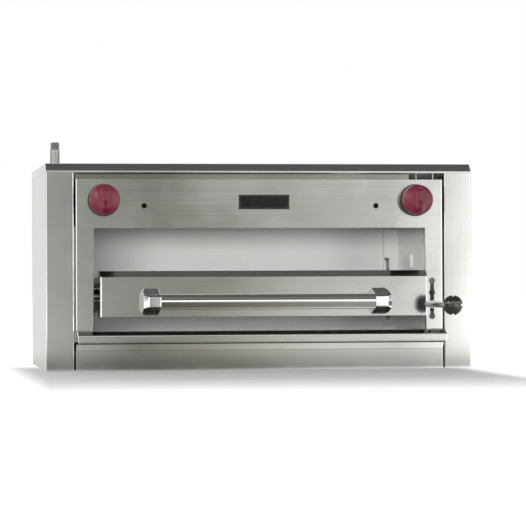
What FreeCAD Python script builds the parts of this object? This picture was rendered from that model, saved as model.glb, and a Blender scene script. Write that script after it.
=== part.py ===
import FreeCAD, Part
import os
import re
import Sketcher

# Gas cheese melter, 36 inches wide
#
# The origin is the middle of the cabinet's footprint. Z points up, the mouth faces -Y and
# X points to the right of someone who stands before it. Lengths are in millimetres.

SIZES = {
    # Cabinet shell
    "cabinet_width": 914.4,
    "cabinet_depth": 495.3,
    "cabinet_height": 438.15,
    "shell_sheet": 1.5,
    "column_width": 59.2,
    "column_return": 20,
    "lid_skirt": 20,
    "lid_bevel": 15.5,
    "vent_gap": 14,
    "leg_bolt_radius": 5.25,
    "leg_bolt_inset_x": 37.2,
    "leg_bolt_inset_y": 47.65,
    "wall_bolt_radius": 4.35,
    "wall_bolt_inset": 50.8,
    "wall_bolt_bottom": 100,
    "wall_bolt_spacing": 250,
    # Control panel round the mouth
    "panel_gap": 3.4,
    "panel_bottom": 84.5,
    "panel_return": 20,
    "stile_width": 38.6,
    "header_height": 103,
    "pilot_hole_radius": 5.75,
    "pilot_inset": 145.6,
    "pilot_hole_drop": 56,
    "nameplate_width": 109,
    "nameplate_height": 31,
    "nameplate_sheet": 1,
    "nameplate_offset": 7,
    "nameplate_drop": 48,
    # Baffle and brackets in the vent gap
    "baffle_foot": 9,
    "baffle_stop": 70,
    "baffle_head_gap": 1.5,
    "vent_bracket_sheet": 2,
    "vent_bracket_inset": 55,
    # Lower front panel
    "lower_height": 56,
    "flare_height": 13,
    "flare_reach": 10,
    "shelf_depth": 20,
    # Cooking chamber
    "liner_sheet": 1.2,
    "liner_inset": 9.6,
    "rear_cavity": 27.3,
    "liner_rise": 29,
    "insulation_bottom": 60,
    "insulation_thickness": 24.5,
    "wall_bracket_setback": 275,
    "wall_bracket_length": 25,
    "wall_bracket_height": 28,
    "wall_bracket_bottom": 217,
    "wall_bracket_reach": 6,
    "wall_bracket_hole_radius": 2.6,
    # Burners and the rails that they rest on
    "burner_rise": 17,
    "burner_height": 54,
    "burner_depth": 200,
    "burner_setback": 130,
    "burner_side_gap": 13,
    "burner_middle_gap": 40,
    "burner_wall": 6,
    "tile_ledge": 5,
    "tile_recess": 3,
    "tile_thickness": 13,
    "tile_joint": 1,
    "burner_rail_leg": 30,
    "burner_rail_drop": 12,
    "burner_rail_overhang": 12,
    "screen_sheet": 1.5,
    "screen_margin": 8,
    "screen_border": 14,
    "screen_bar": 3,
    "screen_pitch": 24,
    "venturi_radius": 16,
    "venturi_wall": 1.5,
    "venturi_setback": 60,
    "orifice_radius": 7,
    "orifice_length": 14,
    "orifice_drop": 12,
    # Gas pipes and valves
    "pipe_radius": 10.67,
    "pipe_bore_radius": 7.9,
    "pipe_inset": 50.2,
    "pipe_back_gap": 40.15,
    "pipe_rise": 66,
    "thread_length": 18,
    "thread_radius": 10.3,
    "pipe_hole_clearance": 2.3,
    "elbow_radius": 15,
    "elbow_socket": 24,
    "manifold_setback": 50,
    "manifold_drop": 26,
    "manifold_overrun": 17,
    "valve_width": 26,
    "valve_setback": 8,
    "valve_depth": 34,
    "valve_below": 20,
    "valve_above": 32,
    "stem_radius": 4,
    "stem_depth": 18,
    "running_clearance": 0.05,
    "pilot_valve_width": 14,
    "pilot_valve_height": 12,
    "pilot_tube_radius": 2.4,
    "pilot_tube_bore": 1.4,
    "pilot_tube_bend": 12,
    "pilot_tube_fall": 30,
    "pilot_head_width": 12,
    "pilot_head_depth": 8,
    "pilot_head_height": 34,
    # Burner knobs
    "knob_inset": 59.6,
    "knob_drop": 44,
    "bezel_radius": 34.5,
    "bezel_thickness": 4,
    "stem_hole_radius": 6,
    "knob_gap": 0.5,
    "knob_standoff": 12,
    "knob_radius": 32,
    "knob_skirt": 20,
    "knob_dome": 9,
    "grip_width": 15,
    "grip_height": 14,
    "grip_margin": 3,
    "grip_round": 4,
    # Rack front, frame and grid
    "rack_side_gap": 8,
    "rack_reach": 62,
    "rack_tuck": 2,
    "rack_rise": 29.5,
    "rack_height": 96,
    "rack_bevel_height": 13,
    "rack_bevel_depth": 20,
    "rack_corner_radius": 4,
    "rack_plate_inset": 19.5,
    "rack_plate": 2.5,
    "rack_plate_foot": 6,
    "rack_plate_head": 17,
    "rack_rear_gap": 68,
    "rack_rear_rise": 30,
    "grid_rod_radius": 3.175,
    "grid_cross_radius": 4,
    "grid_rod_pitch": 21,
    "grid_weld": 0.8,
    "grid_drop": 3,
    "rack_runner_width": 10.5,
    "rack_runner_sheet": 2.5,
    "rack_runner_gap": 15,
    "rack_roller_radius": 11,
    "rack_roller_width": 13,
    "rack_roller_gap": 8.5,
    "rack_roller_setback": 15,
    "roller_axle_radius": 4,
    # Handle of the rack
    "handle_rise": 31,
    "handle_radius": 15.875,
    "handle_wall": 1.5,
    "handle_reach": 41,
    "bracket_inset": 86,
    "bracket_width": 36,
    "bracket_height": 56,
    "bracket_reach": 60,
    "bracket_bevel": 17,
    "bracket_end_bevel": 12,
    "bracket_socket": 22,
    "screw_radius": 3.2,
    "screw_head_radius": 6,
    "screw_head": 4,
    "screw_length": 14,
    "screw_spacing": 34,
    # Lifting carriage
    "web_inset": 23,
    "web_sheet": 2.5,
    "web_rise": 11,
    "web_height": 60,
    "web_front_gap": 6,
    "web_back_gap": 2,
    "track_rise": 34,
    "track_height": 24,
    "track_depth": 19.5,
    "track_sheet": 1.5,
    "track_back_gap": 48,
    "cross_bar_gap": 33,
    "cross_bar_depth": 10,
    "cross_bar_height": 20,
    "front_roller_radius": 8,
    "front_roller_width": 12,
    "front_roller_gap": 5.5,
    "front_roller_setback": 25,
    "runner_play": 0.3,
    "guide_width": 33,
    "guide_depth": 22,
    "guide_sheet": 1.5,
    "guide_foot_gap": 5.5,
    "guide_head": 4,
    "guide_slot": 7,
    "guide_slot_margin": 3,
    "guide_roller_play": 0.5,
    "guide_roller_width": 12,
    "guide_roller_gap": 2,
    "guide_roller_inset": 12,
    "guide_screw_radius": 3.4,
    "guide_screw_head": 2.5,
    "guide_screw_margin": 68,
    "spring_radius": 6,
    "spring_wall": 2.2,
    "spring_tab": 2,
    "spring_tab_depth": 12,
    # Position selector
    "selector_inset": 14,
    "selector_rise": 22.6,
    "notch_pitch": 25.4,
    "notch_radius": 6.65,
    "slot_width": 8.5,
    "selector_radius": 6.35,
    "selector_neck_radius": 3.45,
    "selector_collar_radius": 8.4,
    "selector_collar": 6,
    "selector_play": 0.5,
    "selector_pull": 12,
    "selector_reach": 205,
    "selector_tail": 105,
    "selector_clip_radius": 8.6,
    "selector_clip": 2,
    "selector_knob_radius": 21.5,
    "selector_knob_length": 28,
    "selector_knob_cover": 17,
    "selector_knob_dome": 4,
    "flute_radius": 5,
    "flute_bite": 4.5,
    "lug_thickness": 4,
    "lug_height": 27,
    "lug_setback": 12,
    "lug_spacing": 60,
    "lug_strip": 1.5,
    "lug_width": 20,
    "selector_spring_radius": 8.4,
    "selector_spring_length": 20,
    # Drip tray
    "tray_reach": 47,
    "tray_side_gap": 0.6,
    "tray_under_gap": 3,
    "tray_over_gap": 1.5,
    "tray_bevel_height": 8,
    "tray_bevel_depth": 18,
    "tray_tuck": 3,
    "pan_inset": 13,
    "pan_sheet": 1.2,
    "pan_play": 0.3,
    "pan_head_gap": 3,
    "pan_back_gap": 28,
    "tray_runner_width": 20,
    "tray_runner_height": 20,
    "tray_runner_gap": 2,
    # How far a cutting tool passes its face
    "overrun": 5,
}

# Counts of repeated features
TILES_PER_BURNER = 4
NOTCHES = 4
NOTCHES_ABOVE = 2
FLUTES = 4

# Heights of the holes in a wall bracket, as shares of its height
WALL_BRACKET_HOLE_SHARES = (0.3, 0.7)

# Places that several sub-parts share, as formulas on the sizes
FRONT = "(0 - cabinet_depth / 2)"
BACK = "(cabinet_depth / 2)"
HALF = "(cabinet_width / 2)"
LID_BOTTOM = "(cabinet_height - lid_skirt)"
PANEL_HALF = f"({HALF} - column_width - panel_gap)"
PANEL_TOP = f"({LID_BOTTOM} - vent_gap)"
PANEL_REAR = f"({FRONT} + panel_return)"
MOUTH_TOP = f"({PANEL_TOP} - header_height)"
MOUTH_HALF = f"({PANEL_HALF} - stile_width)"
CHAMBER_HALF = f"({PANEL_HALF} - liner_inset)"
CHAMBER_BACK = f"({BACK} - rear_cavity)"
LINER_TOP = f"({MOUTH_TOP} + liner_rise)"
BURNER_BOTTOM = f"({MOUTH_TOP} + burner_rise)"
BURNER_FRONT = f"({FRONT} + burner_setback)"
BURNER_BACK = f"({BURNER_FRONT} + burner_depth)"
BURNER_OUTER = f"({CHAMBER_HALF} - burner_side_gap)"
BURNER_INNER = "(burner_middle_gap / 2)"
KNOB_X = f"({PANEL_HALF} - knob_inset)"
KNOB_Z = f"({PANEL_TOP} - knob_drop)"
KNOB_REAR = f"({FRONT} - bezel_thickness - knob_standoff)"
PILOT_X = f"({PANEL_HALF} - pilot_inset)"
ORIFICE_Z = f"({KNOB_Z} - orifice_drop)"
VALVE_FRONT = f"({FRONT} + valve_setback)"
VALVE_BACK = f"({VALVE_FRONT} + valve_depth)"
MANIFOLD_Y = f"({FRONT} + manifold_setback)"
MANIFOLD_Z = f"({PANEL_TOP} - manifold_drop)"
PIPE_X = f"(pipe_inset - {HALF})"
PIPE_Y = f"({BACK} - pipe_back_gap)"
PIPE_TOP = "(cabinet_height + pipe_rise)"
RACK_HALF = f"({MOUTH_HALF} - rack_side_gap)"
RACK_FACE = f"({FRONT} - rack_reach)"
RACK_BOTTOM = "(panel_bottom + rack_rise)"
RACK_TOP = f"({RACK_BOTTOM} + rack_height)"
RACK_BACK = f"({CHAMBER_BACK} - rack_rear_gap)"
PLATE_OUTER = f"({MOUTH_HALF} - rack_plate_inset)"
PLATE_INNER = f"({PLATE_OUTER} - rack_plate)"
PLATE_BOTTOM = f"({RACK_BOTTOM} + rack_plate_foot)"
PLATE_TOP = f"({RACK_TOP} - rack_plate_head)"
HANDLE_Y = f"({RACK_FACE} - handle_reach)"
HANDLE_Z = f"({RACK_BOTTOM} + handle_rise)"
BRACKET_INNER = f"({RACK_HALF} - bracket_inset - bracket_width)"
WEB_OUTER = f"({CHAMBER_HALF} - web_inset)"
WEB_INNER = f"({WEB_OUTER} - web_sheet)"
WEB_BOTTOM = f"({RACK_BOTTOM} + web_rise)"
WEB_TOP = f"({WEB_BOTTOM} + web_height)"
WEB_FRONT = f"({PANEL_REAR} + web_front_gap)"
WEB_BACK = f"({CHAMBER_BACK} - web_back_gap)"
TRACK_FLOOR = f"({RACK_BOTTOM} + track_rise)"
TRACK_ROOF = f"({TRACK_FLOOR} + track_height)"
TRACK_MIDDLE = f"({TRACK_FLOOR} + track_height / 2)"
GUIDE_FRONT = f"({CHAMBER_BACK} - guide_depth)"
GUIDE_INNER = f"({CHAMBER_HALF} - guide_width)"
GUIDE_TOP = f"({MOUTH_TOP} + guide_head)"
GUIDE_MIDDLE = f"({CHAMBER_BACK} - (guide_depth - guide_sheet) / 2)"
GUIDE_ROLLER_X = f"({WEB_OUTER} + guide_roller_gap)"
SELECTOR_X = f"({CHAMBER_HALF} - selector_inset)"
SELECTOR_Z = f"({RACK_BOTTOM} + selector_rise)"
LUG_FRONT = f"({PANEL_REAR} + lug_setback)"
TRAY_BOTTOM = "(lower_height + tray_under_gap)"
TRAY_TOP = "(panel_bottom - tray_over_gap)"
PAN_BOTTOM = "(lower_height + pan_play)"
PAN_TOP = f"({TRAY_TOP} - pan_head_gap)"
PAN_HALF = f"({CHAMBER_HALF} - pan_inset)"

SAME_DIRECTION = 1e-6
AXIS_TURNS = {
    "X": FreeCAD.Rotation(FreeCAD.Vector(0, 1, 0), 90),
    "Y": FreeCAD.Rotation(FreeCAD.Vector(1, 0, 0), -90),
    "Z": FreeCAD.Rotation(),
}

doc = FreeCAD.newDocument("cheese_melter")
sheet = doc.addObject("Spreadsheet::Sheet", "Sizes")
probe = doc.addObject("App::FeaturePython", "Probe")
NODES = []


# Document helpers

def write_sizes():
    """Fills the sheet with one row for each driving dimension."""
    for row, (alias, size) in enumerate(SIZES.items(), 1):
        sheet.set(f"A{row}", alias)
        sheet.set(f"B{row}", str(size))
        sheet.setAlias(f"B{row}", alias)
    doc.recompute()


def formula(text):
    """Turns the plain names of sizes into references to the sheet."""
    return re.sub(r"[a-z_]+", lambda word: f"Sizes.{word[0]}" if word[0] in SIZES else word[0], text)


def value(text):
    """Works a formula out from the sheet, as a plain number."""
    result = probe.evalExpression(formula(text))
    return float(getattr(result, "Value", result))


def bind(item, name, text):
    """Ties a property of an object to a formula on the sizes."""
    item.setExpression(name, formula(text))


def place(item, x="0", y="0", z="0"):
    """Ties the place of an object to three formulas."""
    for corner, text in (("x", x), ("y", y), ("z", z)):
        bind(item, f"Placement.Base.{corner}", text)
    return item


def box(x, y, z):
    """Makes a block from the low and high formula on each axis."""
    item = doc.addObject("Part::Box", "Block")
    for name, (low, high) in (("Length", x), ("Width", y), ("Height", z)):
        bind(item, name, f"({high}) - ({low})")
    return place(item, x[0], y[0], z[0])


def rod(axis, radius, span, x="0", y="0", z="0"):
    """Makes a round bar along an axis, over the span, through the other two places."""
    item = doc.addObject("Part::Cylinder", "Rod")
    bind(item, "Radius", radius)
    bind(item, "Height", f"({span[1]}) - ({span[0]})")
    item.Placement = FreeCAD.Placement(FreeCAD.Vector(), AXIS_TURNS[axis])
    start = {"X": x, "Y": y, "Z": z, axis: span[0]}
    return place(item, start["X"], start["Y"], start["Z"])


def ball(radius, x, y, z):
    """Makes a sphere."""
    item = doc.addObject("Part::Sphere", "Ball")
    bind(item, "Radius", radius)
    return place(item, x, y, z)


def fuse(*items):
    """Joins objects into one solid."""
    item = doc.addObject("Part::MultiFuse", "Fusion")
    item.Shapes = list(items)
    item.Refine = True
    return item


def cut(base, *tools):
    """Takes the tools out of an object."""
    item = doc.addObject("Part::Cut", "Cut")
    item.Base = base
    item.Tool = tools[0] if len(tools) == 1 else group(*tools)
    return item


def common(base, tool):
    """Keeps what two objects share."""
    item = doc.addObject("Part::Common", "Common")
    item.Base = base
    item.Tool = tool
    return item


def group(*items):
    """Holds separate solids as one object."""
    item = doc.addObject("Part::Compound", "Group")
    item.Links = list(items)
    return item


def mirrored(item):
    """Mirrors an object across the middle plane of the cabinet."""
    twin = doc.addObject("Part::Mirroring", "Mirror")
    twin.Source = item
    twin.Normal = (1, 0, 0)
    return twin


def node(name, item):
    """Registers a finished sub-part under its name."""
    item.Label = name
    NODES.append(item)
    return item


def pair(name, item):
    """Registers a right-hand sub-part and its mirror image on the left."""
    node(f"right_{name}", item)
    node(f"left_{name}", mirrored(item))


def new_body():
    """Starts a body."""
    return doc.addObject("PartDesign::Body", "Body")


def attached_sketch(body, role, offset="0"):
    """Adds an empty sketch on one of the body's origin planes, moved along its normal."""
    sketch = body.newObject("Sketcher::SketchObject", "Sketch")
    plane = next(item for item in body.Origin.OriginFeatures if item.Role == role)
    sketch.AttachmentSupport = [(plane, "")]
    sketch.MapMode = "FlatFace"
    bind(sketch, "AttachmentOffset.Base.z", offset)
    return sketch


def pin_point(sketch, geometry, point, across, along):
    """Ties a point of a sketch to two formulas, measured from the sketch's origin."""
    for kind, text in (("DistanceX", across), ("DistanceY", along)):
        constraint = Sketcher.Constraint(kind, -1, 1, geometry, point, value(text))
        bind(sketch, f"Constraints[{sketch.addConstraint(constraint)}]", text)


def draw_outline(sketch, points):
    """Draws a closed outline whose corners are tied to formulas."""
    corners = [FreeCAD.Vector(value(across), value(along), 0) for across, along in points]
    for index, corner in enumerate(corners):
        sketch.addGeometry(Part.LineSegment(corner, corners[(index + 1) % len(corners)]), False)
    for index, (across, along) in enumerate(points):
        following = (index + 1) % len(points)
        sketch.addConstraint(Sketcher.Constraint("Coincident", index, 2, following, 1))
        pin_point(sketch, index, 1, across, along)
    return sketch


def draw_circle(sketch, across, along, radius):
    """Draws a circle whose centre and radius are tied to formulas."""
    centre = FreeCAD.Vector(value(across), value(along), 0)
    circle = Part.Circle(centre, FreeCAD.Vector(0, 0, 1), value(radius))
    index = sketch.addGeometry(circle, False)
    pin_point(sketch, index, 3, across, along)
    constraint = sketch.addConstraint(Sketcher.Constraint("Radius", index, value(radius)))
    bind(sketch, f"Constraints[{constraint}]", radius)
    return sketch


def pad(body, sketch, length, symmetric=False, reverse=False):
    """Extrudes a sketch."""
    item = body.newObject("PartDesign::Pad", "Pad")
    item.Profile = sketch
    bind(item, "Length", length)
    item.Midplane = symmetric
    item.Reversed = reverse
    doc.recompute()
    return item


def pocket(body, sketch, length):
    """Cuts a sketch into the body, to the side that takes material away."""
    before = body.Tip.Shape.Volume
    item = body.newObject("PartDesign::Pocket", "Pocket")
    item.Profile = sketch
    bind(item, "Length", length)
    doc.recompute()
    if item.Shape.Volume > before - SAME_DIRECTION:
        item.Reversed = True
        doc.recompute()
    if item.Shape.Volume > before - SAME_DIRECTION:
        raise RuntimeError(f"{item.Name} cuts nothing")
    return item


def flat_faces(feature, *directions):
    """Names the flat faces of a feature that point in one of the directions."""
    wanted = [FreeCAD.Vector(*direction) for direction in directions]
    return [
        f"Face{index}"
        for index, face in enumerate(feature.Shape.Faces, 1)
        if isinstance(face.Surface, Part.Plane)
        and any((face.normalAt(0, 0) - direction).Length < SAME_DIRECTION for direction in wanted)
    ]


def edges_in(feature, keep):
    """Names the edges of a feature whose end points all pass a test."""
    return [
        f"Edge{index}"
        for index, edge in enumerate(feature.Shape.Edges, 1)
        if all(keep(vertex.Point) for vertex in edge.Vertexes)
    ]


def hollow(body, feature, sheet_size, *open_sides):
    """Turns a solid into folded sheet that is open on some sides."""
    item = body.newObject("PartDesign::Thickness", "Shell")
    item.Base = (feature, flat_faces(feature, *open_sides))
    bind(item, "Value", sheet_size)
    item.Reversed = True
    item.Join = 1
    doc.recompute()
    return item


def folded_front(half_width, points, *open_sides):
    """Makes a folded sheet front whose section in the YZ plane runs across the cabinet."""
    body = new_body()
    sketch = draw_outline(attached_sketch(body, "YZ_Plane"), points)
    solid = pad(body, sketch, f"2 * {half_width}", symmetric=True)
    return body, solid, open_sides


def near(number, text):
    """Tells whether a coordinate lies at the place that a formula gives."""
    return abs(number - value(text)) < SAME_DIRECTION


def tube(axis, outer, inner, span, x="0", y="0", z="0"):
    """Makes a straight tube."""
    low, high = span
    bore = (f"{low} - overrun", f"{high} + overrun")
    return cut(rod(axis, outer, span, x, y, z), rod(axis, inner, bore, x, y, z))


# Cabinet shell

def side_panel():
    """Side sheet with the front column and its return in one folded piece."""
    body = new_body()
    column_edge = f"{HALF} - column_width"
    points = [
        (HALF, BACK),
        (HALF, FRONT),
        (column_edge, FRONT),
        (column_edge, f"{FRONT} + column_return"),
        (f"{column_edge} + shell_sheet", f"{FRONT} + column_return"),
        (f"{column_edge} + shell_sheet", f"{FRONT} + shell_sheet"),
        (f"{HALF} - shell_sheet", f"{FRONT} + shell_sheet"),
        (f"{HALF} - shell_sheet", BACK),
    ]
    pad(body, draw_outline(attached_sketch(body, "XY_Plane"), points), LID_BOTTOM)
    pair("side_panel", body)


def top_panel():
    """Lid with a bevelled front edge, skirts all round and a hole for the gas pipe."""
    body, solid, sides = folded_front(
        HALF,
        [
            (FRONT, LID_BOTTOM),
            (BACK, LID_BOTTOM),
            (BACK, "cabinet_height"),
            (f"{FRONT} + lid_bevel", "cabinet_height"),
            (FRONT, "cabinet_height - lid_bevel"),
        ],
        (0, 0, -1),
    )
    hollow(body, solid, "shell_sheet", *sides)
    hole = rod("Z", "pipe_radius + pipe_hole_clearance",
               (LID_BOTTOM, "cabinet_height + overrun"), PIPE_X, PIPE_Y)
    node("top_panel", cut(body, hole))


def corner_holes(axis, radius, xs, others, span):
    """Makes a drill for each pair of places, along Y or Z."""
    for x in xs:
        for other in others:
            if axis == "Z":
                yield rod("Z", radius, span, x, other)
            else:
                yield rod("Y", radius, span, x, z=other)


def bottom_panel():
    """Floor sheet with holes for legs, notched round the column returns."""
    inner = f"{HALF} - shell_sheet"
    floor = box((f"0 - ({inner})", inner), (f"{FRONT} + shell_sheet", f"{BACK} - shell_sheet"),
                ("0", "shell_sheet"))
    x = f"{HALF} - leg_bolt_inset_x"
    y = f"{BACK} - leg_bolt_inset_y"
    drills = corner_holes("Z", "leg_bolt_radius", (x, f"0 - ({x})"), (y, f"0 - ({y})"),
                          ("0 - overrun", "overrun"))
    column_edge = f"({HALF} - column_width)"
    notch = box((column_edge, f"{column_edge} + shell_sheet"), (FRONT, f"{FRONT} + column_return"),
                ("0 - overrun", "overrun"))
    node("bottom_panel", cut(floor, *drills, notch, mirrored(notch)))


def back_panel():
    """Back sheet with holes for wall bolts."""
    inner = f"{HALF} - shell_sheet"
    back = box((f"0 - ({inner})", inner), (f"{BACK} - shell_sheet", BACK), ("0", LID_BOTTOM))
    x = f"{HALF} - wall_bolt_inset"
    heights = ("wall_bolt_bottom", "wall_bolt_bottom + wall_bolt_spacing")
    drills = corner_holes("Y", "wall_bolt_radius", (x, f"0 - ({x})"), heights,
                          (f"{BACK} - overrun", f"{BACK} + overrun"))
    node("back_panel", cut(back, *drills))


def mouth_outline(edge):
    """Corners of the control panel's face, moved in by the width of a sheet edge."""
    outer = f"{PANEL_HALF} - {edge}"
    inner = f"{MOUTH_HALF} + {edge}"
    low = f"panel_bottom + {edge}"
    return [
        (f"0 - ({outer})", low),
        (f"0 - ({inner})", low),
        (f"0 - ({inner})", f"{MOUTH_TOP} + {edge}"),
        (inner, f"{MOUTH_TOP} + {edge}"),
        (inner, low),
        (outer, low),
        (outer, f"{PANEL_TOP} - {edge}"),
        (f"0 - ({outer})", f"{PANEL_TOP} - {edge}"),
    ]


def control_panel():
    """Folded panel round the mouth, drilled for stems, pilot lighting and the selector."""
    body = new_body()
    face = draw_outline(attached_sketch(body, "XZ_Plane", f"0 - {PANEL_REAR}"), mouth_outline("0"))
    pad(body, face, "panel_return")
    inside = attached_sketch(body, "XZ_Plane", f"0 - {PANEL_REAR}")
    pocket(body, draw_outline(inside, mouth_outline("shell_sheet")), "panel_return - shell_sheet")
    drills = attached_sketch(body, "XZ_Plane", f"0 - {FRONT}")
    for side in ("1", "-1"):
        draw_circle(drills, f"{side} * {KNOB_X}", KNOB_Z, "stem_hole_radius")
        draw_circle(drills, f"{side} * {PILOT_X}", f"{PANEL_TOP} - pilot_hole_drop", "pilot_hole_radius")
    lowest = NOTCHES_ABOVE + 1 - NOTCHES
    for step in range(lowest, NOTCHES_ABOVE + 1):
        draw_circle(drills, SELECTOR_X, f"{SELECTOR_Z} + {step} * notch_pitch", "notch_radius")
    pocket(body, drills, "shell_sheet")
    left, right = f"{SELECTOR_X} - slot_width / 2", f"{SELECTOR_X} + slot_width / 2"
    bottom = f"{SELECTOR_Z} + {lowest} * notch_pitch"
    top = f"{SELECTOR_Z} + {NOTCHES_ABOVE} * notch_pitch"
    slot = attached_sketch(body, "XZ_Plane", f"0 - {FRONT}")
    pocket(body, draw_outline(slot, [(left, bottom), (right, bottom), (right, top), (left, top)]),
           "shell_sheet")
    node("control_panel", body)


def nameplate():
    """Blank plate on the control panel."""
    middle = f"{PANEL_TOP} - nameplate_drop"
    node("nameplate", box(
        ("nameplate_offset - nameplate_width / 2", "nameplate_offset + nameplate_width / 2"),
        (f"{FRONT} - nameplate_sheet", FRONT),
        (f"{middle} - nameplate_height / 2", f"{middle} + nameplate_height / 2"),
    ))


def lower_front_panel():
    """Front panel below the tray, with a flared top edge and a shelf."""
    body, solid, sides = folded_front(
        PANEL_HALF,
        [
            (FRONT, "0"),
            (f"{FRONT} + shelf_depth", "0"),
            (f"{FRONT} + shelf_depth", "lower_height"),
            (f"{FRONT} - flare_reach", "lower_height"),
            (FRONT, "lower_height - flare_height"),
        ],
        (0, 1, 0), (0, 0, -1),
    )
    hollow(body, solid, "shell_sheet", *sides)
    node("lower_front_panel", cut(body, box(
        (f"0 - {HALF}", HALF),
        (f"{FRONT} + shell_sheet", f"{FRONT} + shelf_depth + overrun"),
        ("0", "shell_sheet"),
    )))


def vent_parts():
    """Baffle on the control panel's top return, and the brackets that carry the lid."""
    stop = f"{PANEL_HALF} - baffle_stop"
    foot = box((f"0 - {PANEL_HALF}", stop), (f"{PANEL_REAR} - baffle_foot", PANEL_REAR),
               (PANEL_TOP, f"{PANEL_TOP} + shell_sheet"))
    upright = box((f"0 - {PANEL_HALF}", stop), (f"{PANEL_REAR} - shell_sheet", PANEL_REAR),
                  (PANEL_TOP, f"{LID_BOTTOM} - baffle_head_gap"))
    node("vent_baffle", fuse(foot, upright))
    brackets = []
    for x in (f"{PANEL_HALF} - vent_bracket_inset", f"{PANEL_HALF} - vent_bracket_inset / 3"):
        brackets.append(box((x, f"{x} + vent_bracket_sheet"),
                            (f"{FRONT} + lid_bevel + shell_sheet", PANEL_REAR),
                            (PANEL_TOP, "cabinet_height - shell_sheet")))
    end = f"{PANEL_HALF} - vent_bracket_sheet"
    brackets.append(box((f"0 - {PANEL_HALF}", f"0 - ({end})"), (PANEL_REAR, f"{PANEL_REAR} + baffle_foot"),
                        (f"{PANEL_TOP} - baffle_foot", "cabinet_height - shell_sheet")))
    node("vent_brackets", group(*brackets))


# Cooking chamber

def liners():
    """Side liners with a front flange, and the back liner."""
    wall = box((CHAMBER_HALF, f"{CHAMBER_HALF} + liner_sheet"), (PANEL_REAR, CHAMBER_BACK),
               ("shell_sheet", LINER_TOP))
    flange = box((CHAMBER_HALF, PANEL_HALF), (PANEL_REAR, f"{PANEL_REAR} + liner_sheet"),
                 ("panel_bottom", LINER_TOP))
    pair("liner", fuse(wall, flange))
    outer = f"{CHAMBER_HALF} + liner_sheet"
    node("back_liner", box((f"0 - ({outer})", outer), (CHAMBER_BACK, f"{CHAMBER_BACK} + liner_sheet"),
                           ("shell_sheet", LINER_TOP)))


def insulation():
    """Fibre boards outside the liners."""
    side = box((f"{CHAMBER_HALF} + liner_sheet", f"{CHAMBER_HALF} + liner_sheet + insulation_thickness"),
               (f"{PANEL_REAR} + liner_sheet", f"{CHAMBER_BACK} - guide_depth"),
               ("insulation_bottom", f"{MOUTH_TOP} + guide_head"))
    node("side_insulation", group(side, mirrored(side)))
    node("back_insulation", box((f"0 - {CHAMBER_HALF}", CHAMBER_HALF),
                                (f"{CHAMBER_BACK} + liner_sheet", f"{BACK} - shell_sheet"),
                                ("insulation_bottom", f"{MOUTH_TOP} + guide_head")))


def wall_brackets():
    """Small drilled stop on each side wall, above the carriage."""
    y = f"({FRONT} + wall_bracket_setback)"
    plate = box((f"{CHAMBER_HALF} - wall_bracket_reach", CHAMBER_HALF),
                (y, f"{y} + wall_bracket_length"),
                ("wall_bracket_bottom", "wall_bracket_bottom + wall_bracket_height"))
    drills = [
        rod("X", "wall_bracket_hole_radius",
            (f"{CHAMBER_HALF} - wall_bracket_reach - overrun", f"{CHAMBER_HALF} + overrun"),
            y=f"{y} + wall_bracket_length / 2",
            z=f"wall_bracket_bottom + {share} * wall_bracket_height")
        for share in WALL_BRACKET_HOLE_SHARES
    ]
    bracket = cut(plate, *drills)
    node("wall_brackets", group(bracket, mirrored(bracket)))


def guide_channels():
    """Channel in each rear corner that the carriage rides in, with its screws."""
    bottom = "(panel_bottom + guide_foot_gap)"
    outer = box((GUIDE_INNER, CHAMBER_HALF), (GUIDE_FRONT, CHAMBER_BACK), (bottom, GUIDE_TOP))
    inside = box((f"{GUIDE_INNER} + guide_sheet", CHAMBER_HALF),
                 (f"{GUIDE_FRONT} + guide_sheet", CHAMBER_BACK),
                 (f"{bottom} - overrun", f"{GUIDE_TOP} - guide_sheet"))
    middle = f"({WEB_OUTER} - web_sheet / 2)"
    slot = box((f"{middle} - guide_slot / 2", f"{middle} + guide_slot / 2"),
               (f"{GUIDE_FRONT} - overrun", f"{GUIDE_FRONT} + guide_sheet + overrun"),
               (f"{WEB_BOTTOM} - notch_pitch - guide_slot_margin",
                f"{WEB_TOP} + {NOTCHES_ABOVE} * notch_pitch + guide_slot_margin"))
    pair("guide_channel", cut(outer, inside, slot))
    screws = []
    for z in (f"{GUIDE_TOP} - guide_screw_margin", f"{bottom} + guide_screw_margin"):
        screws.append(rod("Y", "guide_screw_radius", (f"{GUIDE_FRONT} - guide_screw_head", GUIDE_FRONT),
                          f"{GUIDE_INNER} + guide_screw_radius", z=z))
    node("guide_screws", group(*screws, *[mirrored(screw) for screw in screws]))


def tray_runners():
    """Angle on each side wall that the drip tray slides on."""
    y = (f"{PANEL_REAR} + tray_runner_gap", f"{GUIDE_FRONT} - tray_runner_gap")
    flat = box((f"{CHAMBER_HALF} - tray_runner_width", CHAMBER_HALF), y,
               ("lower_height - shell_sheet", "lower_height"))
    upright = box((f"{CHAMBER_HALF} - shell_sheet", CHAMBER_HALF), y,
                  ("lower_height - shell_sheet", "lower_height + tray_runner_height"))
    runner = fuse(flat, upright)
    node("tray_runners", group(runner, mirrored(runner)))


# Burners

def burner_rails():
    """Front and rear angle that both burners rest on."""
    x = (f"0 - {CHAMBER_HALF}", CHAMBER_HALF)
    top = (f"{BURNER_BOTTOM} - shell_sheet", BURNER_BOTTOM)
    drop = (f"{BURNER_BOTTOM} - burner_rail_drop", BURNER_BOTTOM)
    front_edge = f"{BURNER_FRONT} - burner_rail_overhang"
    front_rail = fuse(
        box(x, (front_edge, f"{front_edge} + burner_rail_leg"), top),
        box(x, (front_edge, f"{front_edge} + shell_sheet"), drop),
    )
    back_edge = f"{BURNER_BACK} + burner_rail_overhang"
    rear_rail = fuse(
        box(x, (f"{back_edge} - burner_rail_leg", back_edge), top),
        box(x, (f"{back_edge} - shell_sheet", back_edge), drop),
    )
    node("burner_rails", group(front_rail, rear_rail))


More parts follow.
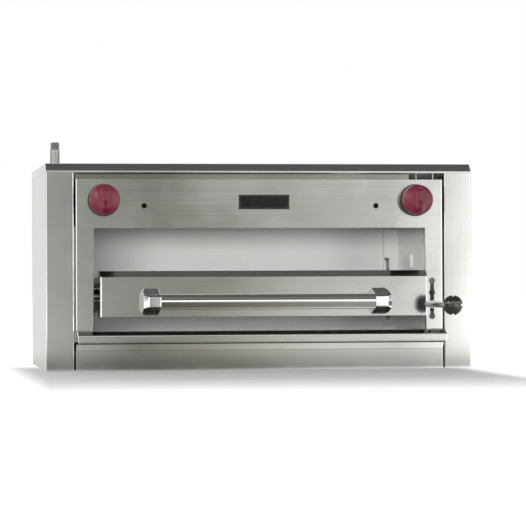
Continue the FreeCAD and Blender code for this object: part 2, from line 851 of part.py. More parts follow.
def burner_bodies():
    """Cast burner box, open below for the tiles and drilled for its venturi."""
    def inset(margin, low, high):
        return box((f"{BURNER_INNER} + {margin}", f"{BURNER_OUTER} - ({margin})"),
                   (f"{BURNER_FRONT} + {margin}", f"{BURNER_BACK} - ({margin})"), (low, high))

    outside = inset("0", BURNER_BOTTOM, f"{BURNER_BOTTOM} + burner_height")
    seat = inset("burner_wall", f"{BURNER_BOTTOM} - overrun",
                 f"{BURNER_BOTTOM} + tile_recess + tile_thickness")
    plenum = inset("(burner_wall + tile_ledge)", f"{BURNER_BOTTOM} - overrun",
                   f"{BURNER_BOTTOM} + burner_height - burner_wall")
    inlet = rod("Y", "venturi_radius - venturi_wall",
                (f"{BURNER_FRONT} - overrun", f"{BURNER_FRONT} + burner_wall + tile_ledge + overrun"),
                KNOB_X, z=ORIFICE_Z)
    pair("burner_body", cut(outside, seat, plenum, inlet))


def burner_tiles():
    """Row of ceramic tiles that glow under each burner."""
    width = f"(({BURNER_OUTER} - {BURNER_INNER} - 2 * burner_wall) / {TILES_PER_BURNER})"
    tiles = []
    for index in range(TILES_PER_BURNER):
        low = f"{BURNER_INNER} + burner_wall + {index} * {width}"
        tiles.append(box((f"{low} + tile_joint / 2", f"{low} + {width} - tile_joint / 2"),
                         (f"{BURNER_FRONT} + burner_wall", f"{BURNER_BACK} - burner_wall"),
                         (f"{BURNER_BOTTOM} + tile_recess",
                          f"{BURNER_BOTTOM} + tile_recess + tile_thickness")))
    node("burner_tiles", group(*tiles, *[mirrored(tile) for tile in tiles]))


def radiant_screens():
    """Barred screen under each burner, carried by the burner rails."""
    x = (f"{BURNER_INNER} + screen_margin", f"{BURNER_OUTER} - screen_margin")
    y = (f"{BURNER_FRONT} - screen_margin", f"{BURNER_BACK} + screen_margin")
    z = (f"{BURNER_BOTTOM} - shell_sheet - screen_sheet", f"{BURNER_BOTTOM} - shell_sheet")
    window = box((f"{x[0]} + screen_border", f"{x[1]} - screen_border"),
                 (f"{y[0]} + screen_border", f"{y[1]} - screen_border"),
                 (f"{z[0]} - overrun", f"{z[1]} + overrun"))
    parts = [cut(box(x, y, z), window)]
    count = int((value(x[1]) - value(x[0]) - 2 * value("screen_border")) / value("screen_pitch"))
    for index in range(1, count + 1):
        middle = f"{x[0]} + screen_border + {index} * screen_pitch"
        parts.append(box((f"{middle} - screen_bar / 2", f"{middle} + screen_bar / 2"),
                         (f"{y[0]} + screen_border / 2", f"{y[1]} - screen_border / 2"), z))
    screen = fuse(*parts)
    node("radiant_screens", group(screen, mirrored(screen)))


def venturis():
    """Mixing tube from behind each orifice to its burner."""
    item = tube("Y", "venturi_radius", "venturi_radius - venturi_wall",
                (f"{FRONT} + venturi_setback", BURNER_FRONT), KNOB_X, z=ORIFICE_Z)
    node("venturi_tubes", group(item, mirrored(item)))


# Gas pipes and valves

def gas_pipes():
    """Inlet pipe, supply pipe, manifold and the elbows between them."""
    thread = f"{PIPE_TOP} - thread_length"
    shank = rod("Z", "pipe_radius", (f"{MANIFOLD_Z} + pipe_radius", thread), PIPE_X, PIPE_Y)
    threaded = rod("Z", "thread_radius", (thread, PIPE_TOP), PIPE_X, PIPE_Y)
    bore = rod("Z", "pipe_bore_radius", (MANIFOLD_Z, f"{PIPE_TOP} + overrun"), PIPE_X, PIPE_Y)
    node("gas_inlet_pipe", cut(fuse(shank, threaded), bore))
    node("supply_pipe", tube("Y", "pipe_radius", "pipe_bore_radius",
                             (f"{MANIFOLD_Y} + pipe_radius", f"{PIPE_Y} - pipe_radius"),
                             PIPE_X, z=MANIFOLD_Z))
    along = (f"{PIPE_X} + pipe_radius", f"{KNOB_X} + manifold_overrun")
    node("gas_manifold", tube("X", "pipe_radius", "pipe_bore_radius", along, y=MANIFOLD_Y, z=MANIFOLD_Z))
    elbows = []
    for y, up, direction in ((PIPE_Y, True, "-1"), (MANIFOLD_Y, False, "1")):
        ends = sorted((f"{y} + {direction} * elbow_socket", y), key=value)
        socket_y = rod("Y", "elbow_radius", ends, PIPE_X, z=MANIFOLD_Z)
        pipe_y = rod("Y", "pipe_radius", sorted((f"{y} + {direction} * (elbow_socket + overrun)", y),
                                                key=value), PIPE_X, z=MANIFOLD_Z)
        if up:
            socket = rod("Z", "elbow_radius", (MANIFOLD_Z, f"{MANIFOLD_Z} + elbow_socket"), PIPE_X, y)
            pipe = rod("Z", "pipe_radius", (MANIFOLD_Z, f"{MANIFOLD_Z} + elbow_socket + overrun"),
                       PIPE_X, y)
        else:
            socket = rod("X", "elbow_radius", (PIPE_X, f"{PIPE_X} + elbow_socket"), y=y, z=MANIFOLD_Z)
            pipe = rod("X", "pipe_radius", (PIPE_X, f"{PIPE_X} + elbow_socket + overrun"),
                       y=y, z=MANIFOLD_Z)
        outside = fuse(ball("elbow_radius", PIPE_X, y, MANIFOLD_Z), socket, socket_y)
        elbows.append(cut(outside, fuse(ball("pipe_radius", PIPE_X, y, MANIFOLD_Z), pipe, pipe_y)))
    node("pipe_elbows", group(*elbows))


def manifold_envelope():
    """Outside of the manifold, which the valves are shaped round."""
    return rod("X", "pipe_radius", (f"0 - {HALF}", HALF), y=MANIFOLD_Y, z=MANIFOLD_Z)


def gas_valves():
    """Valve block on the manifold behind each knob, and the orifice behind it."""
    block = box((f"{KNOB_X} - valve_width / 2", f"{KNOB_X} + valve_width / 2"),
                (VALVE_FRONT, VALVE_BACK),
                (f"{KNOB_Z} - valve_below", f"{KNOB_Z} + valve_above"))
    bore = rod("Y", "stem_radius + running_clearance",
               (f"{VALVE_FRONT} - overrun", f"{VALVE_FRONT} + stem_depth + knob_gap"),
               KNOB_X, z=KNOB_Z)
    pair("gas_valve", cut(block, manifold_envelope(), bore))
    orifice = rod("Y", "orifice_radius", (VALVE_BACK, f"{VALVE_BACK} + orifice_length"),
                  KNOB_X, z=ORIFICE_Z)
    node("burner_orifices", group(orifice, mirrored(orifice)))


def pilots():
    """Pilot valves under the manifold, their bent tubes and the pilot burners."""
    half = "pilot_valve_width / 2"
    valve_bottom = f"({MANIFOLD_Z} - pipe_radius - pilot_valve_height)"
    block = box((f"{PILOT_X} - {half}", f"{PILOT_X} + {half}"),
                (f"{MANIFOLD_Y} - {half}", f"{MANIFOLD_Y} + {half}"), (valve_bottom, MANIFOLD_Z))
    valve = cut(block, manifold_envelope())
    node("pilot_valves", group(valve, mirrored(valve)))
    head_back = f"({BURNER_FRONT} - burner_rail_overhang)"
    head_front = f"({head_back} - pilot_head_depth)"
    head_bottom = f"({BURNER_BOTTOM} - burner_rail_drop)"
    head = box((f"{PILOT_X} - pilot_head_width / 2", f"{PILOT_X} + pilot_head_width / 2"),
               (head_front, head_back), (head_bottom, f"{head_bottom} + pilot_head_height"))
    node("pilot_burners", group(head, mirrored(head)))
    pipe = doc.addObject("Part::Feature", "PilotTube")
    pipe.Shape = bent_tube(value(PILOT_X), value(MANIFOLD_Y), value(valve_bottom), value(head_front),
                           value(f"{valve_bottom} - pilot_tube_fall"))
    node("pilot_tubes", group(pipe, mirrored(pipe)))


def bent_tube(x, y_top, z_top, y_end, z_end):
    """Sweeps a tube down from one point and round one bend to another."""
    bend = value("pilot_tube_bend")
    corner = FreeCAD.Vector(x, y_top, z_end)
    down = FreeCAD.Vector(0, 0, -1)
    back = FreeCAD.Vector(0, 1, 0)
    start = FreeCAD.Vector(x, y_top, z_top)
    end = FreeCAD.Vector(x, y_end, z_end)
    bend_start = corner - down * bend
    bend_end = corner + back * bend
    middle = corner + (back - down) * bend + (down - back) * (bend / 2 ** 0.5)
    path = Part.Wire([
        Part.LineSegment(start, bend_start).toShape(),
        Part.Arc(bend_start, middle, bend_end).toShape(),
        Part.LineSegment(bend_end, end).toShape(),
    ])

    def swept(radius):
        section = Part.Wire([Part.Circle(start, down, radius).toShape()])
        return path.makePipeShell([section], True, False)

    return swept(value("pilot_tube_radius")).cut(swept(value("pilot_tube_bore")))


# Burner knobs

def dome(radius, height):
    """Formula for the sphere whose cap has the given radius and height."""
    return f"(({radius}) * ({radius}) + ({height}) * ({height})) / (2 * ({height}))"


def burner_knobs():
    """Bezel, turning stem and domed knob with a grip bar."""
    bezel = cut(
        rod("Y", "bezel_radius", (f"{FRONT} - bezel_thickness", FRONT), KNOB_X, z=KNOB_Z),
        rod("Y", "stem_hole_radius", (f"{FRONT} - bezel_thickness - overrun", f"{FRONT} + overrun"),
            KNOB_X, z=KNOB_Z),
    )
    node("knob_bezels", group(bezel, mirrored(bezel)))
    pair("valve_stem", rod("Y", "stem_radius", (KNOB_REAR, f"{VALVE_FRONT} + stem_depth"),
                           KNOB_X, z=KNOB_Z))
    skirt_front = f"({KNOB_REAR} - knob_skirt)"
    disc = rod("Y", "knob_radius", (f"{skirt_front} - knob_dome", KNOB_REAR), KNOB_X, z=KNOB_Z)
    sphere = dome("knob_radius", "knob_dome")
    cap = common(disc, ball(sphere, KNOB_X, f"{skirt_front} - knob_dome + {sphere}", KNOB_Z))
    skirt = rod("Y", "knob_radius", (skirt_front, KNOB_REAR), KNOB_X, z=KNOB_Z)
    grip = box((f"{KNOB_X} - grip_width / 2", f"{KNOB_X} + grip_width / 2"),
               (f"{skirt_front} - grip_height", skirt_front),
               (f"{KNOB_Z} - knob_radius + grip_margin", f"{KNOB_Z} + knob_radius - grip_margin"))
    doc.recompute()
    rounded = doc.addObject("Part::Fillet", "Grip")
    rounded.Base = grip
    front = f"{skirt_front} - grip_height"
    radius = value("grip_round")
    rounded.Edges = [
        (int(name[4:]), radius, radius)
        for name in edges_in(grip, lambda point: near(point.y, front))
    ]
    pair("knob", fuse(skirt, cap, rounded))


# Drip tray

def drip_tray():
    """Folded tray front and the pan behind it."""
    body, solid, sides = folded_front(
        f"({PANEL_HALF} - tray_side_gap)",
        [
            (f"{FRONT} - tray_reach", TRAY_BOTTOM),
            (f"{FRONT} + tray_tuck", TRAY_BOTTOM),
            (f"{FRONT} + tray_tuck", TRAY_TOP),
            (f"{FRONT} - tray_reach + tray_bevel_depth", TRAY_TOP),
            (f"{FRONT} - tray_reach", f"{TRAY_TOP} - tray_bevel_height"),
        ],
        (0, 1, 0),
    )
    hollow(body, solid, "shell_sheet", *sides)
    node("drip_tray_front", body)
    y = (f"{FRONT} + tray_tuck", f"{CHAMBER_BACK} - pan_back_gap")
    outside = box((f"0 - {PAN_HALF}", PAN_HALF), y, (PAN_BOTTOM, PAN_TOP))
    inside = box((f"pan_sheet - {PAN_HALF}", f"{PAN_HALF} - pan_sheet"),
                 (f"{y[0]} + pan_sheet", f"{y[1]} - pan_sheet"),
                 (f"{PAN_BOTTOM} + pan_sheet", f"{PAN_TOP} + overrun"))
    node("drip_tray_pan", cut(outside, inside))


# Rack

def handle_screw_parts():
    """Shanks and heads of the screws that hold one handle bracket."""
    shanks, heads = [], []
    seat = f"{RACK_FACE} + shell_sheet + rack_plate"
    for side in ("1", "-1"):
        place_of = {"x": f"{BRACKET_INNER} + bracket_width / 2",
                    "z": f"{HANDLE_Z} + {side} * screw_spacing / 2"}
        shanks.append(rod("Y", "screw_radius", (f"{RACK_FACE} - screw_length", seat), **place_of))
        heads.append(rod("Y", "screw_head_radius", (seat, f"{seat} + screw_head"), **place_of))
    return shanks, heads


def rack_front():
    """Folded front of the rack with a bevelled top edge."""
    body, solid, sides = folded_front(
        RACK_HALF,
        [
            (RACK_FACE, RACK_BOTTOM),
            (f"{FRONT} + rack_tuck", RACK_BOTTOM),
            (f"{FRONT} + rack_tuck", RACK_TOP),
            (f"{RACK_FACE} + rack_bevel_depth", RACK_TOP),
            (RACK_FACE, f"{RACK_TOP} - rack_bevel_height"),
        ],
        (0, 1, 0),
    )
    shell = hollow(body, solid, "shell_sheet", *sides)
    corners = body.newObject("PartDesign::Fillet", "Corners")
    corners.Base = (shell, edges_in(
        shell, lambda point: near(abs(point.x), RACK_HALF) and near(point.y, RACK_FACE)))
    bind(corners, "Radius", "rack_corner_radius")
    doc.recompute()
    shanks, heads = handle_screw_parts()
    shanks += [mirrored(shank) for shank in shanks]
    node("rack_front", cut(body, *shanks))
    screws = [fuse(shank, head) for shank, head in zip(shanks, heads)]
    node("handle_screws", group(*screws, *[mirrored(screw) for screw in screws]))


def rack_frame():
    """Welded frame of side plates, cross plates and the runner strips."""
    parts = []
    inside_front = f"{RACK_FACE} + shell_sheet"
    for side in (1, -1):
        low, high = sorted((f"{side} * {PLATE_INNER}", f"{side} * {PLATE_OUTER}"), key=value)
        parts.append(box((low, high), (inside_front, RACK_BACK), (PLATE_BOTTOM, PLATE_TOP)))
        runner = f"{PLATE_OUTER} + rack_runner_width"
        low, high = sorted((f"{side} * {PLATE_INNER}", f"{side} * ({runner})"), key=value)
        roller_top = f"{TRACK_MIDDLE} + front_roller_radius / 2 + runner_play"
        parts.append(box((low, high), (f"{FRONT} + rack_tuck", f"{RACK_BACK} - rack_roller_radius"
                                       " - rack_roller_setback - rack_runner_gap"),
                         (roller_top, f"{roller_top} + rack_runner_sheet")))
    x = (f"0 - {PLATE_OUTER}", PLATE_OUTER)
    shanks, _ = handle_screw_parts()
    front_plate = box(x, (inside_front, f"{inside_front} + rack_plate"), (PLATE_BOTTOM, PLATE_TOP))
    parts.append(cut(front_plate, *shanks, *[mirrored(shank) for shank in shanks]))
    parts.append(box(x, (f"{RACK_BACK} - rack_plate", RACK_BACK),
                     (f"{PLATE_BOTTOM} + rack_rear_rise", PLATE_TOP)))
    node("rack_frame", fuse(*parts))


def rack_grid():
    """Welded grid of rods on three cross bars between the side plates."""
    cross_z = f"({PLATE_TOP} - grid_drop)"
    front = f"({RACK_FACE} + shell_sheet + rack_plate + grid_cross_radius)"
    back = f"({RACK_BACK} - rack_plate - grid_cross_radius)"
    rods = [
        rod("X", "grid_cross_radius", (f"0 - {PLATE_INNER}", PLATE_INNER), y=y, z=cross_z)
        for y in (front, f"({front} + {back}) / 2", back)
    ]
    rod_z = f"{cross_z} + (grid_cross_radius + grid_rod_radius) - grid_weld"
    count = int((value(PLATE_INNER) - value("grid_rod_radius")) / value("grid_rod_pitch"))
    for index in range(-count, count + 1):
        rods.append(rod("Y", "grid_rod_radius", (front, back), f"{index} * grid_rod_pitch", z=rod_z))
    node("rack_grid", fuse(*rods))


def rack_rollers():
    """Roller with its axle on the rear of each side plate."""
    y = f"{RACK_BACK} - rack_roller_setback"
    wheel = f"{PLATE_OUTER} + rack_roller_gap"
    roller = fuse(
        rod("X", "roller_axle_radius", (PLATE_OUTER, wheel), y=y, z=TRACK_MIDDLE),
        rod("X", "rack_roller_radius", (wheel, f"{wheel} + rack_roller_width"), y=y, z=TRACK_MIDDLE),
    )
    node("rack_rollers", group(roller, mirrored(roller)))


def handle():
    """Handle tube and the bevelled bracket at each end."""
    reach = f"{RACK_FACE} - bracket_reach"
    low, high = f"{HANDLE_Z} - bracket_height / 2", f"{HANDLE_Z} + bracket_height / 2"
    body = new_body()
    sketch = attached_sketch(body, "YZ_Plane", BRACKET_INNER)
    solid = pad(body, draw_outline(sketch, [
        (RACK_FACE, low),
        (RACK_FACE, high),
        (reach, f"{high} - bracket_bevel"),
        (reach, f"{low} + bracket_bevel"),
    ]), "bracket_width")
    end = f"{BRACKET_INNER} + bracket_width"
    bevel = body.newObject("PartDesign::Chamfer", "EndBevel")
    bevel.Base = (solid, [
        name for name in edges_in(solid, lambda point: near(point.x, end))
        if not all(near(vertex.Point.y, RACK_FACE) for vertex in solid.Shape.getElement(name).Vertexes)
    ])
    bind(bevel, "Size", "bracket_end_bevel")
    doc.recompute()
    socket_end = f"{BRACKET_INNER} + bracket_socket"
    socket = rod("X", "handle_radius", (f"{BRACKET_INNER} - overrun", socket_end),
                 y=HANDLE_Y, z=HANDLE_Z)
    shanks, _ = handle_screw_parts()
    pair("handle_bracket", cut(body, socket, *shanks))
    node("handle_tube", tube("X", "handle_radius", "handle_radius - handle_wall",
                             (f"0 - ({socket_end})", socket_end), y=HANDLE_Y, z=HANDLE_Z))


# Lifting carriage

def carriage_rails():
    """Side rail: a web that reaches into the rear guide, with a track for the rack's roller."""
    web = box((WEB_INNER, WEB_OUTER), (WEB_FRONT, WEB_BACK), (WEB_BOTTOM, WEB_TOP))
    track = (f"{WEB_INNER} - track_depth", WEB_INNER)
    length = (WEB_FRONT, f"{CHAMBER_BACK} - track_back_gap")
    floor = box(track, length, (f"{TRACK_FLOOR} - track_sheet", TRACK_FLOOR))
    roof = box(track, length, (TRACK_ROOF, f"{TRACK_ROOF} + track_sheet"))
    tab = box((WEB_INNER, f"{GUIDE_ROLLER_X} + guide_roller_width"),
              (f"{GUIDE_MIDDLE} - spring_tab_depth / 2", f"{GUIDE_MIDDLE} + spring_tab_depth / 2"),
              (f"{WEB_TOP} - spring_tab", WEB_TOP))
    pair("carriage_rail", fuse(web, floor, roof, tab))
    bar_y = f"({CHAMBER_BACK} - cross_bar_gap)"
    node("carriage_cross_bar", box((f"0 - {WEB_INNER}", WEB_INNER), (f"{bar_y} - cross_bar_depth", bar_y),
                                   (f"{TRACK_MIDDLE} - cross_bar_height / 2",
                                    f"{TRACK_MIDDLE} + cross_bar_height / 2")))


def carriage_rollers():
    """Rollers in the rear guides and the pair that carries the rack in front."""
    radius = "((guide_depth - guide_sheet) / 2 - guide_roller_play)"
    rollers = []
    for z in (f"{WEB_BOTTOM} + guide_roller_inset", f"{WEB_TOP} - guide_roller_inset"):
        rollers.append(fuse(
            rod("X", "roller_axle_radius", (WEB_OUTER, GUIDE_ROLLER_X), y=GUIDE_MIDDLE, z=z),
            rod("X", radius, (GUIDE_ROLLER_X, f"{GUIDE_ROLLER_X} + guide_roller_width"),
                y=GUIDE_MIDDLE, z=z),
        ))
    y = f"{PANEL_REAR} + front_roller_setback"
    z = f"{TRACK_MIDDLE} - front_roller_radius / 2"
    wheel = f"{WEB_INNER} - front_roller_gap"
    rollers.append(fuse(
        rod("X", "roller_axle_radius", (wheel, WEB_INNER), y=y, z=z),
        rod("X", "front_roller_radius", (f"{wheel} - front_roller_width", wheel), y=y, z=z),
    ))
    node("carriage_rollers", group(*rollers, *[mirrored(roller) for roller in rollers]))


def counter_springs():
    """Sleeve of the extension spring in each rear guide that balances the carriage."""
    spring = tube("Z", "spring_radius", "spring_radius - spring_wall",
                  (WEB_TOP, f"{GUIDE_TOP} - guide_sheet"),
                  f"{GUIDE_ROLLER_X} + guide_roller_width / 2", GUIDE_MIDDLE)
    node("counter_springs", group(spring, mirrored(spring)))


# Position selector

def selector():
    """Bracket on the right rail, with the sprung rod, its collar and the fluted knob."""
    x = (WEB_OUTER, f"{WEB_OUTER} + lug_width")
    z = (f"{SELECTOR_Z} - lug_height / 2", f"{SELECTOR_Z} + lug_height / 2")
    rear_lug = f"{LUG_FRONT} + lug_spacing"
    bracket = fuse(
        box(x, (LUG_FRONT, f"{LUG_FRONT} + lug_thickness"), z),
        box(x, (rear_lug, f"{rear_lug} + lug_thickness"), z),
        box((f"{x[1]} - lug_strip", x[1]), (LUG_FRONT, f"{rear_lug} + lug_thickness"), z),
    )
    bore = rod("Y", "selector_radius + running_clearance",
               (FRONT, f"{rear_lug} + lug_thickness + overrun"), SELECTOR_X, z=SELECTOR_Z)
    node("selector_bracket", cut(bracket, bore))
    spring_start = f"({LUG_FRONT} + lug_thickness)"
    node("selector_spring", tube("Y", "selector_spring_radius", "selector_radius + knob_gap",
                                 (spring_start, f"{spring_start} + selector_spring_length"),
                                 SELECTOR_X, z=SELECTOR_Z))

    def length(radius, low, high):
        return rod("Y", radius, (low, high), SELECTOR_X, z=SELECTOR_Z)

    collar_rear = f"({FRONT} - selector_play)"
    neck_rear = f"({FRONT} + shell_sheet + selector_pull + selector_play)"
    clip = f"({spring_start} + selector_spring_length + selector_pull + selector_play)"
    node("selector_rod", fuse(
        length("selector_radius", f"{FRONT} - selector_reach", collar_rear),
        length("selector_collar_radius", f"{collar_rear} - selector_collar", collar_rear),
        length("selector_neck_radius", collar_rear, neck_rear),
        length("selector_radius", neck_rear, f"{FRONT} + selector_tail"),
        length("selector_clip_radius", clip, f"{clip} + selector_clip"),
    ))
    front = f"({FRONT} - selector_knob_cover - selector_reach)"
    rear = f"({front} + selector_knob_length)"
    sphere = dome("selector_knob_radius", "selector_knob_dome")
    stub = common(length("selector_knob_radius", front, rear),
                  ball(sphere, SELECTOR_X, f"{front} + {sphere}", SELECTOR_Z))
    flutes = []
    for index in range(FLUTES):
        angle = f"{index * 360 / FLUTES} deg"
        reach = "(selector_knob_radius + flute_radius - flute_bite)"
        flutes.append(rod("Y", "flute_radius", (f"{front} - overrun", f"{rear} + overrun"),
                          f"{SELECTOR_X} + {reach} * cos({angle})",
                          z=f"{SELECTOR_Z} + {reach} * sin({angle})"))
    rod_seat = length("selector_radius", f"{FRONT} - selector_reach", f"{rear} + overrun")
    node("selector_knob", cut(stub, *flutes, rod_seat))


def check_document():
    """Stops on any object that failed to build."""
    for item in doc.Objects:
        if {"Invalid", "Error"} & set(item.State):
            raise RuntimeError(f"{item.Name} ({item.Label}) is {item.State}")
    for item in NODES:
        shape = item.Shape
        if shape.isNull() or not shape.isValid() or not shape.Solids:
            raise RuntimeError(f"{item.Label} has no valid solid")


def write_parts():
    """Writes each sub-part to a file of its own."""
    os.makedirs("parts", exist_ok=True)
    for item in NODES:
        item.Shape.exportStep(f"parts/{item.Label}.step")


def main():
    """Builds the document and writes its sub-parts."""
    write_sizes()
    for build in (
        side_panel, top_panel, bottom_panel, back_panel, control_panel, nameplate,
        lower_front_panel, vent_parts, liners, insulation, wall_brackets, guide_channels,
        tray_runners, burner_rails, burner_bodies, burner_tiles, radiant_screens, venturis,
        gas_pipes, gas_valves, pilots, burner_knobs, drip_tray, rack_front, rack_frame,
        rack_grid, rack_rollers, handle, carriage_rails, carriage_rollers, counter_springs,
        selector,
    ):
        build()
    doc.recompute()
    check_document()
    write_parts()
    print(f"{len(NODES)} sub-parts, {sum(len(item.Shape.Solids) for item in NODES)} solids")


main()
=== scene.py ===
import logging
import math
from dataclasses import dataclass
from enum import Enum
from typing import Callable, Iterable, Sequence

import bmesh
import bpy
from mathutils import Matrix, Vector


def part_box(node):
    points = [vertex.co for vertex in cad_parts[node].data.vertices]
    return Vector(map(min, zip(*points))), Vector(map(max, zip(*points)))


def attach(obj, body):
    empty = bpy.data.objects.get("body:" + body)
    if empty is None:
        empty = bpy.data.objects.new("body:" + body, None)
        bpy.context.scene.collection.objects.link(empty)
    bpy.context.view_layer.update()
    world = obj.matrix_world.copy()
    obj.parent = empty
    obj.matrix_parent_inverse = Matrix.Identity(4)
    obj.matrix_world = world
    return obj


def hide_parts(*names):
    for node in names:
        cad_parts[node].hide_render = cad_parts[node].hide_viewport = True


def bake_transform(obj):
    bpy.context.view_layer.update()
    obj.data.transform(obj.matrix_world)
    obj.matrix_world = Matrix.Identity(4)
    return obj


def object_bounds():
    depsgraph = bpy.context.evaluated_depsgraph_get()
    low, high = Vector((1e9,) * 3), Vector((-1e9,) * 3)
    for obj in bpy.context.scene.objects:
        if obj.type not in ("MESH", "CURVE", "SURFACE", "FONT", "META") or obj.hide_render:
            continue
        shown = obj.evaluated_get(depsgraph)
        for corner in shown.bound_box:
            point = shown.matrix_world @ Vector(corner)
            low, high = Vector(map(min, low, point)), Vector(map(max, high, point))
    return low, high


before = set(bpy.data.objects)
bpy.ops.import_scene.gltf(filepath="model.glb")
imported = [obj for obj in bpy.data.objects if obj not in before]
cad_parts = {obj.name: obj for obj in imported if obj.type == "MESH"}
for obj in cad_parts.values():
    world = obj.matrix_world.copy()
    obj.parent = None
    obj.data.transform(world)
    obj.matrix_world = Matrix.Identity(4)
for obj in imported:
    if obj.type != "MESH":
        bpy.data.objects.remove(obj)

# Looks of a gas cheese melter, in metres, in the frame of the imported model

CAD_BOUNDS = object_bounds()
LOG = logging.getLogger("cheese_melter")
Colour = tuple[float, float, float, float]
Point = tuple[float, float]
EdgeTest = Callable[[Vector, Vector], bool]

# Tolerances, how far a cutter runs past a face, and the length from which an edge counts as long
SAME_PLACE = 1e-5
MERGED = 1e-7
SAME_DIRECTION = 0.01
OVERRUN = 0.01
LONG_EDGE = 0.1


def srgb(red: int, green: int, blue: int) -> Colour:
    """Turns a colour as a screen shows it into the linear colour that shaders use.

    Args:
        red: Red, 0 to 255.
        green: Green, 0 to 255.
        blue: Blue, 0 to 255.

    Returns:
        The colour, with full opacity.
    """
    def linear(level: int) -> float:
        """Linear value of one channel."""
        share = level / 255
        return share / 12.92 if share <= 0.04045 else ((share + 0.055) / 1.055) ** 2.4

    return (linear(red), linear(green), linear(blue), 1.0)


def grey(level: float) -> Colour:
    """Neutral linear colour."""
    return (level, level, level, 1.0)


def near(first: float, second: float) -> bool:
    """Tells whether two places are the same."""
    return abs(first - second) < SAME_PLACE


def ramp(at: float, zero: float, one: float) -> float:
    """Goes smoothly from 0 at one place to 1 at another."""
    share = min(1.0, max(0.0, (at - zero) / (one - zero)))
    return share * share * (3 - 2 * share)


class Axis(Enum):
    """Direction that a shape runs along. Its outline lies in the other two directions, in their order."""

    X = 0
    Y = 1
    Z = 2

    def point(self, across: float, along: float, at: float) -> Vector:
        """Point from its outline coordinates and its place on the axis.

        Args:
            across: First outline coordinate.
            along: Second outline coordinate.
            at: Place on the axis.

        Returns:
            The point.
        """
        coordinates = [across, along]
        coordinates.insert(self.value, at)
        return Vector(coordinates)

    @property
    def vector(self) -> Vector:
        """Unit vector along the axis."""
        return self.point(0, 0, 1)

    def plane(self, place: float) -> EdgeTest:
        """Test for the edges that lie in a plane square to the axis."""
        return lambda a, b: near(a[self.value], place) and near(b[self.value], place)


def bevelled_outline(low: Vector, high: Vector, depth: float, height: float) -> list[Point]:
    """Outline, seen from its end, of a box whose upper front edge is cut to a depth and height."""
    return [(low.y, low.z), (high.y, low.z), (high.y, high.z), (low.y + depth, high.z),
            (low.y, high.z - height)]


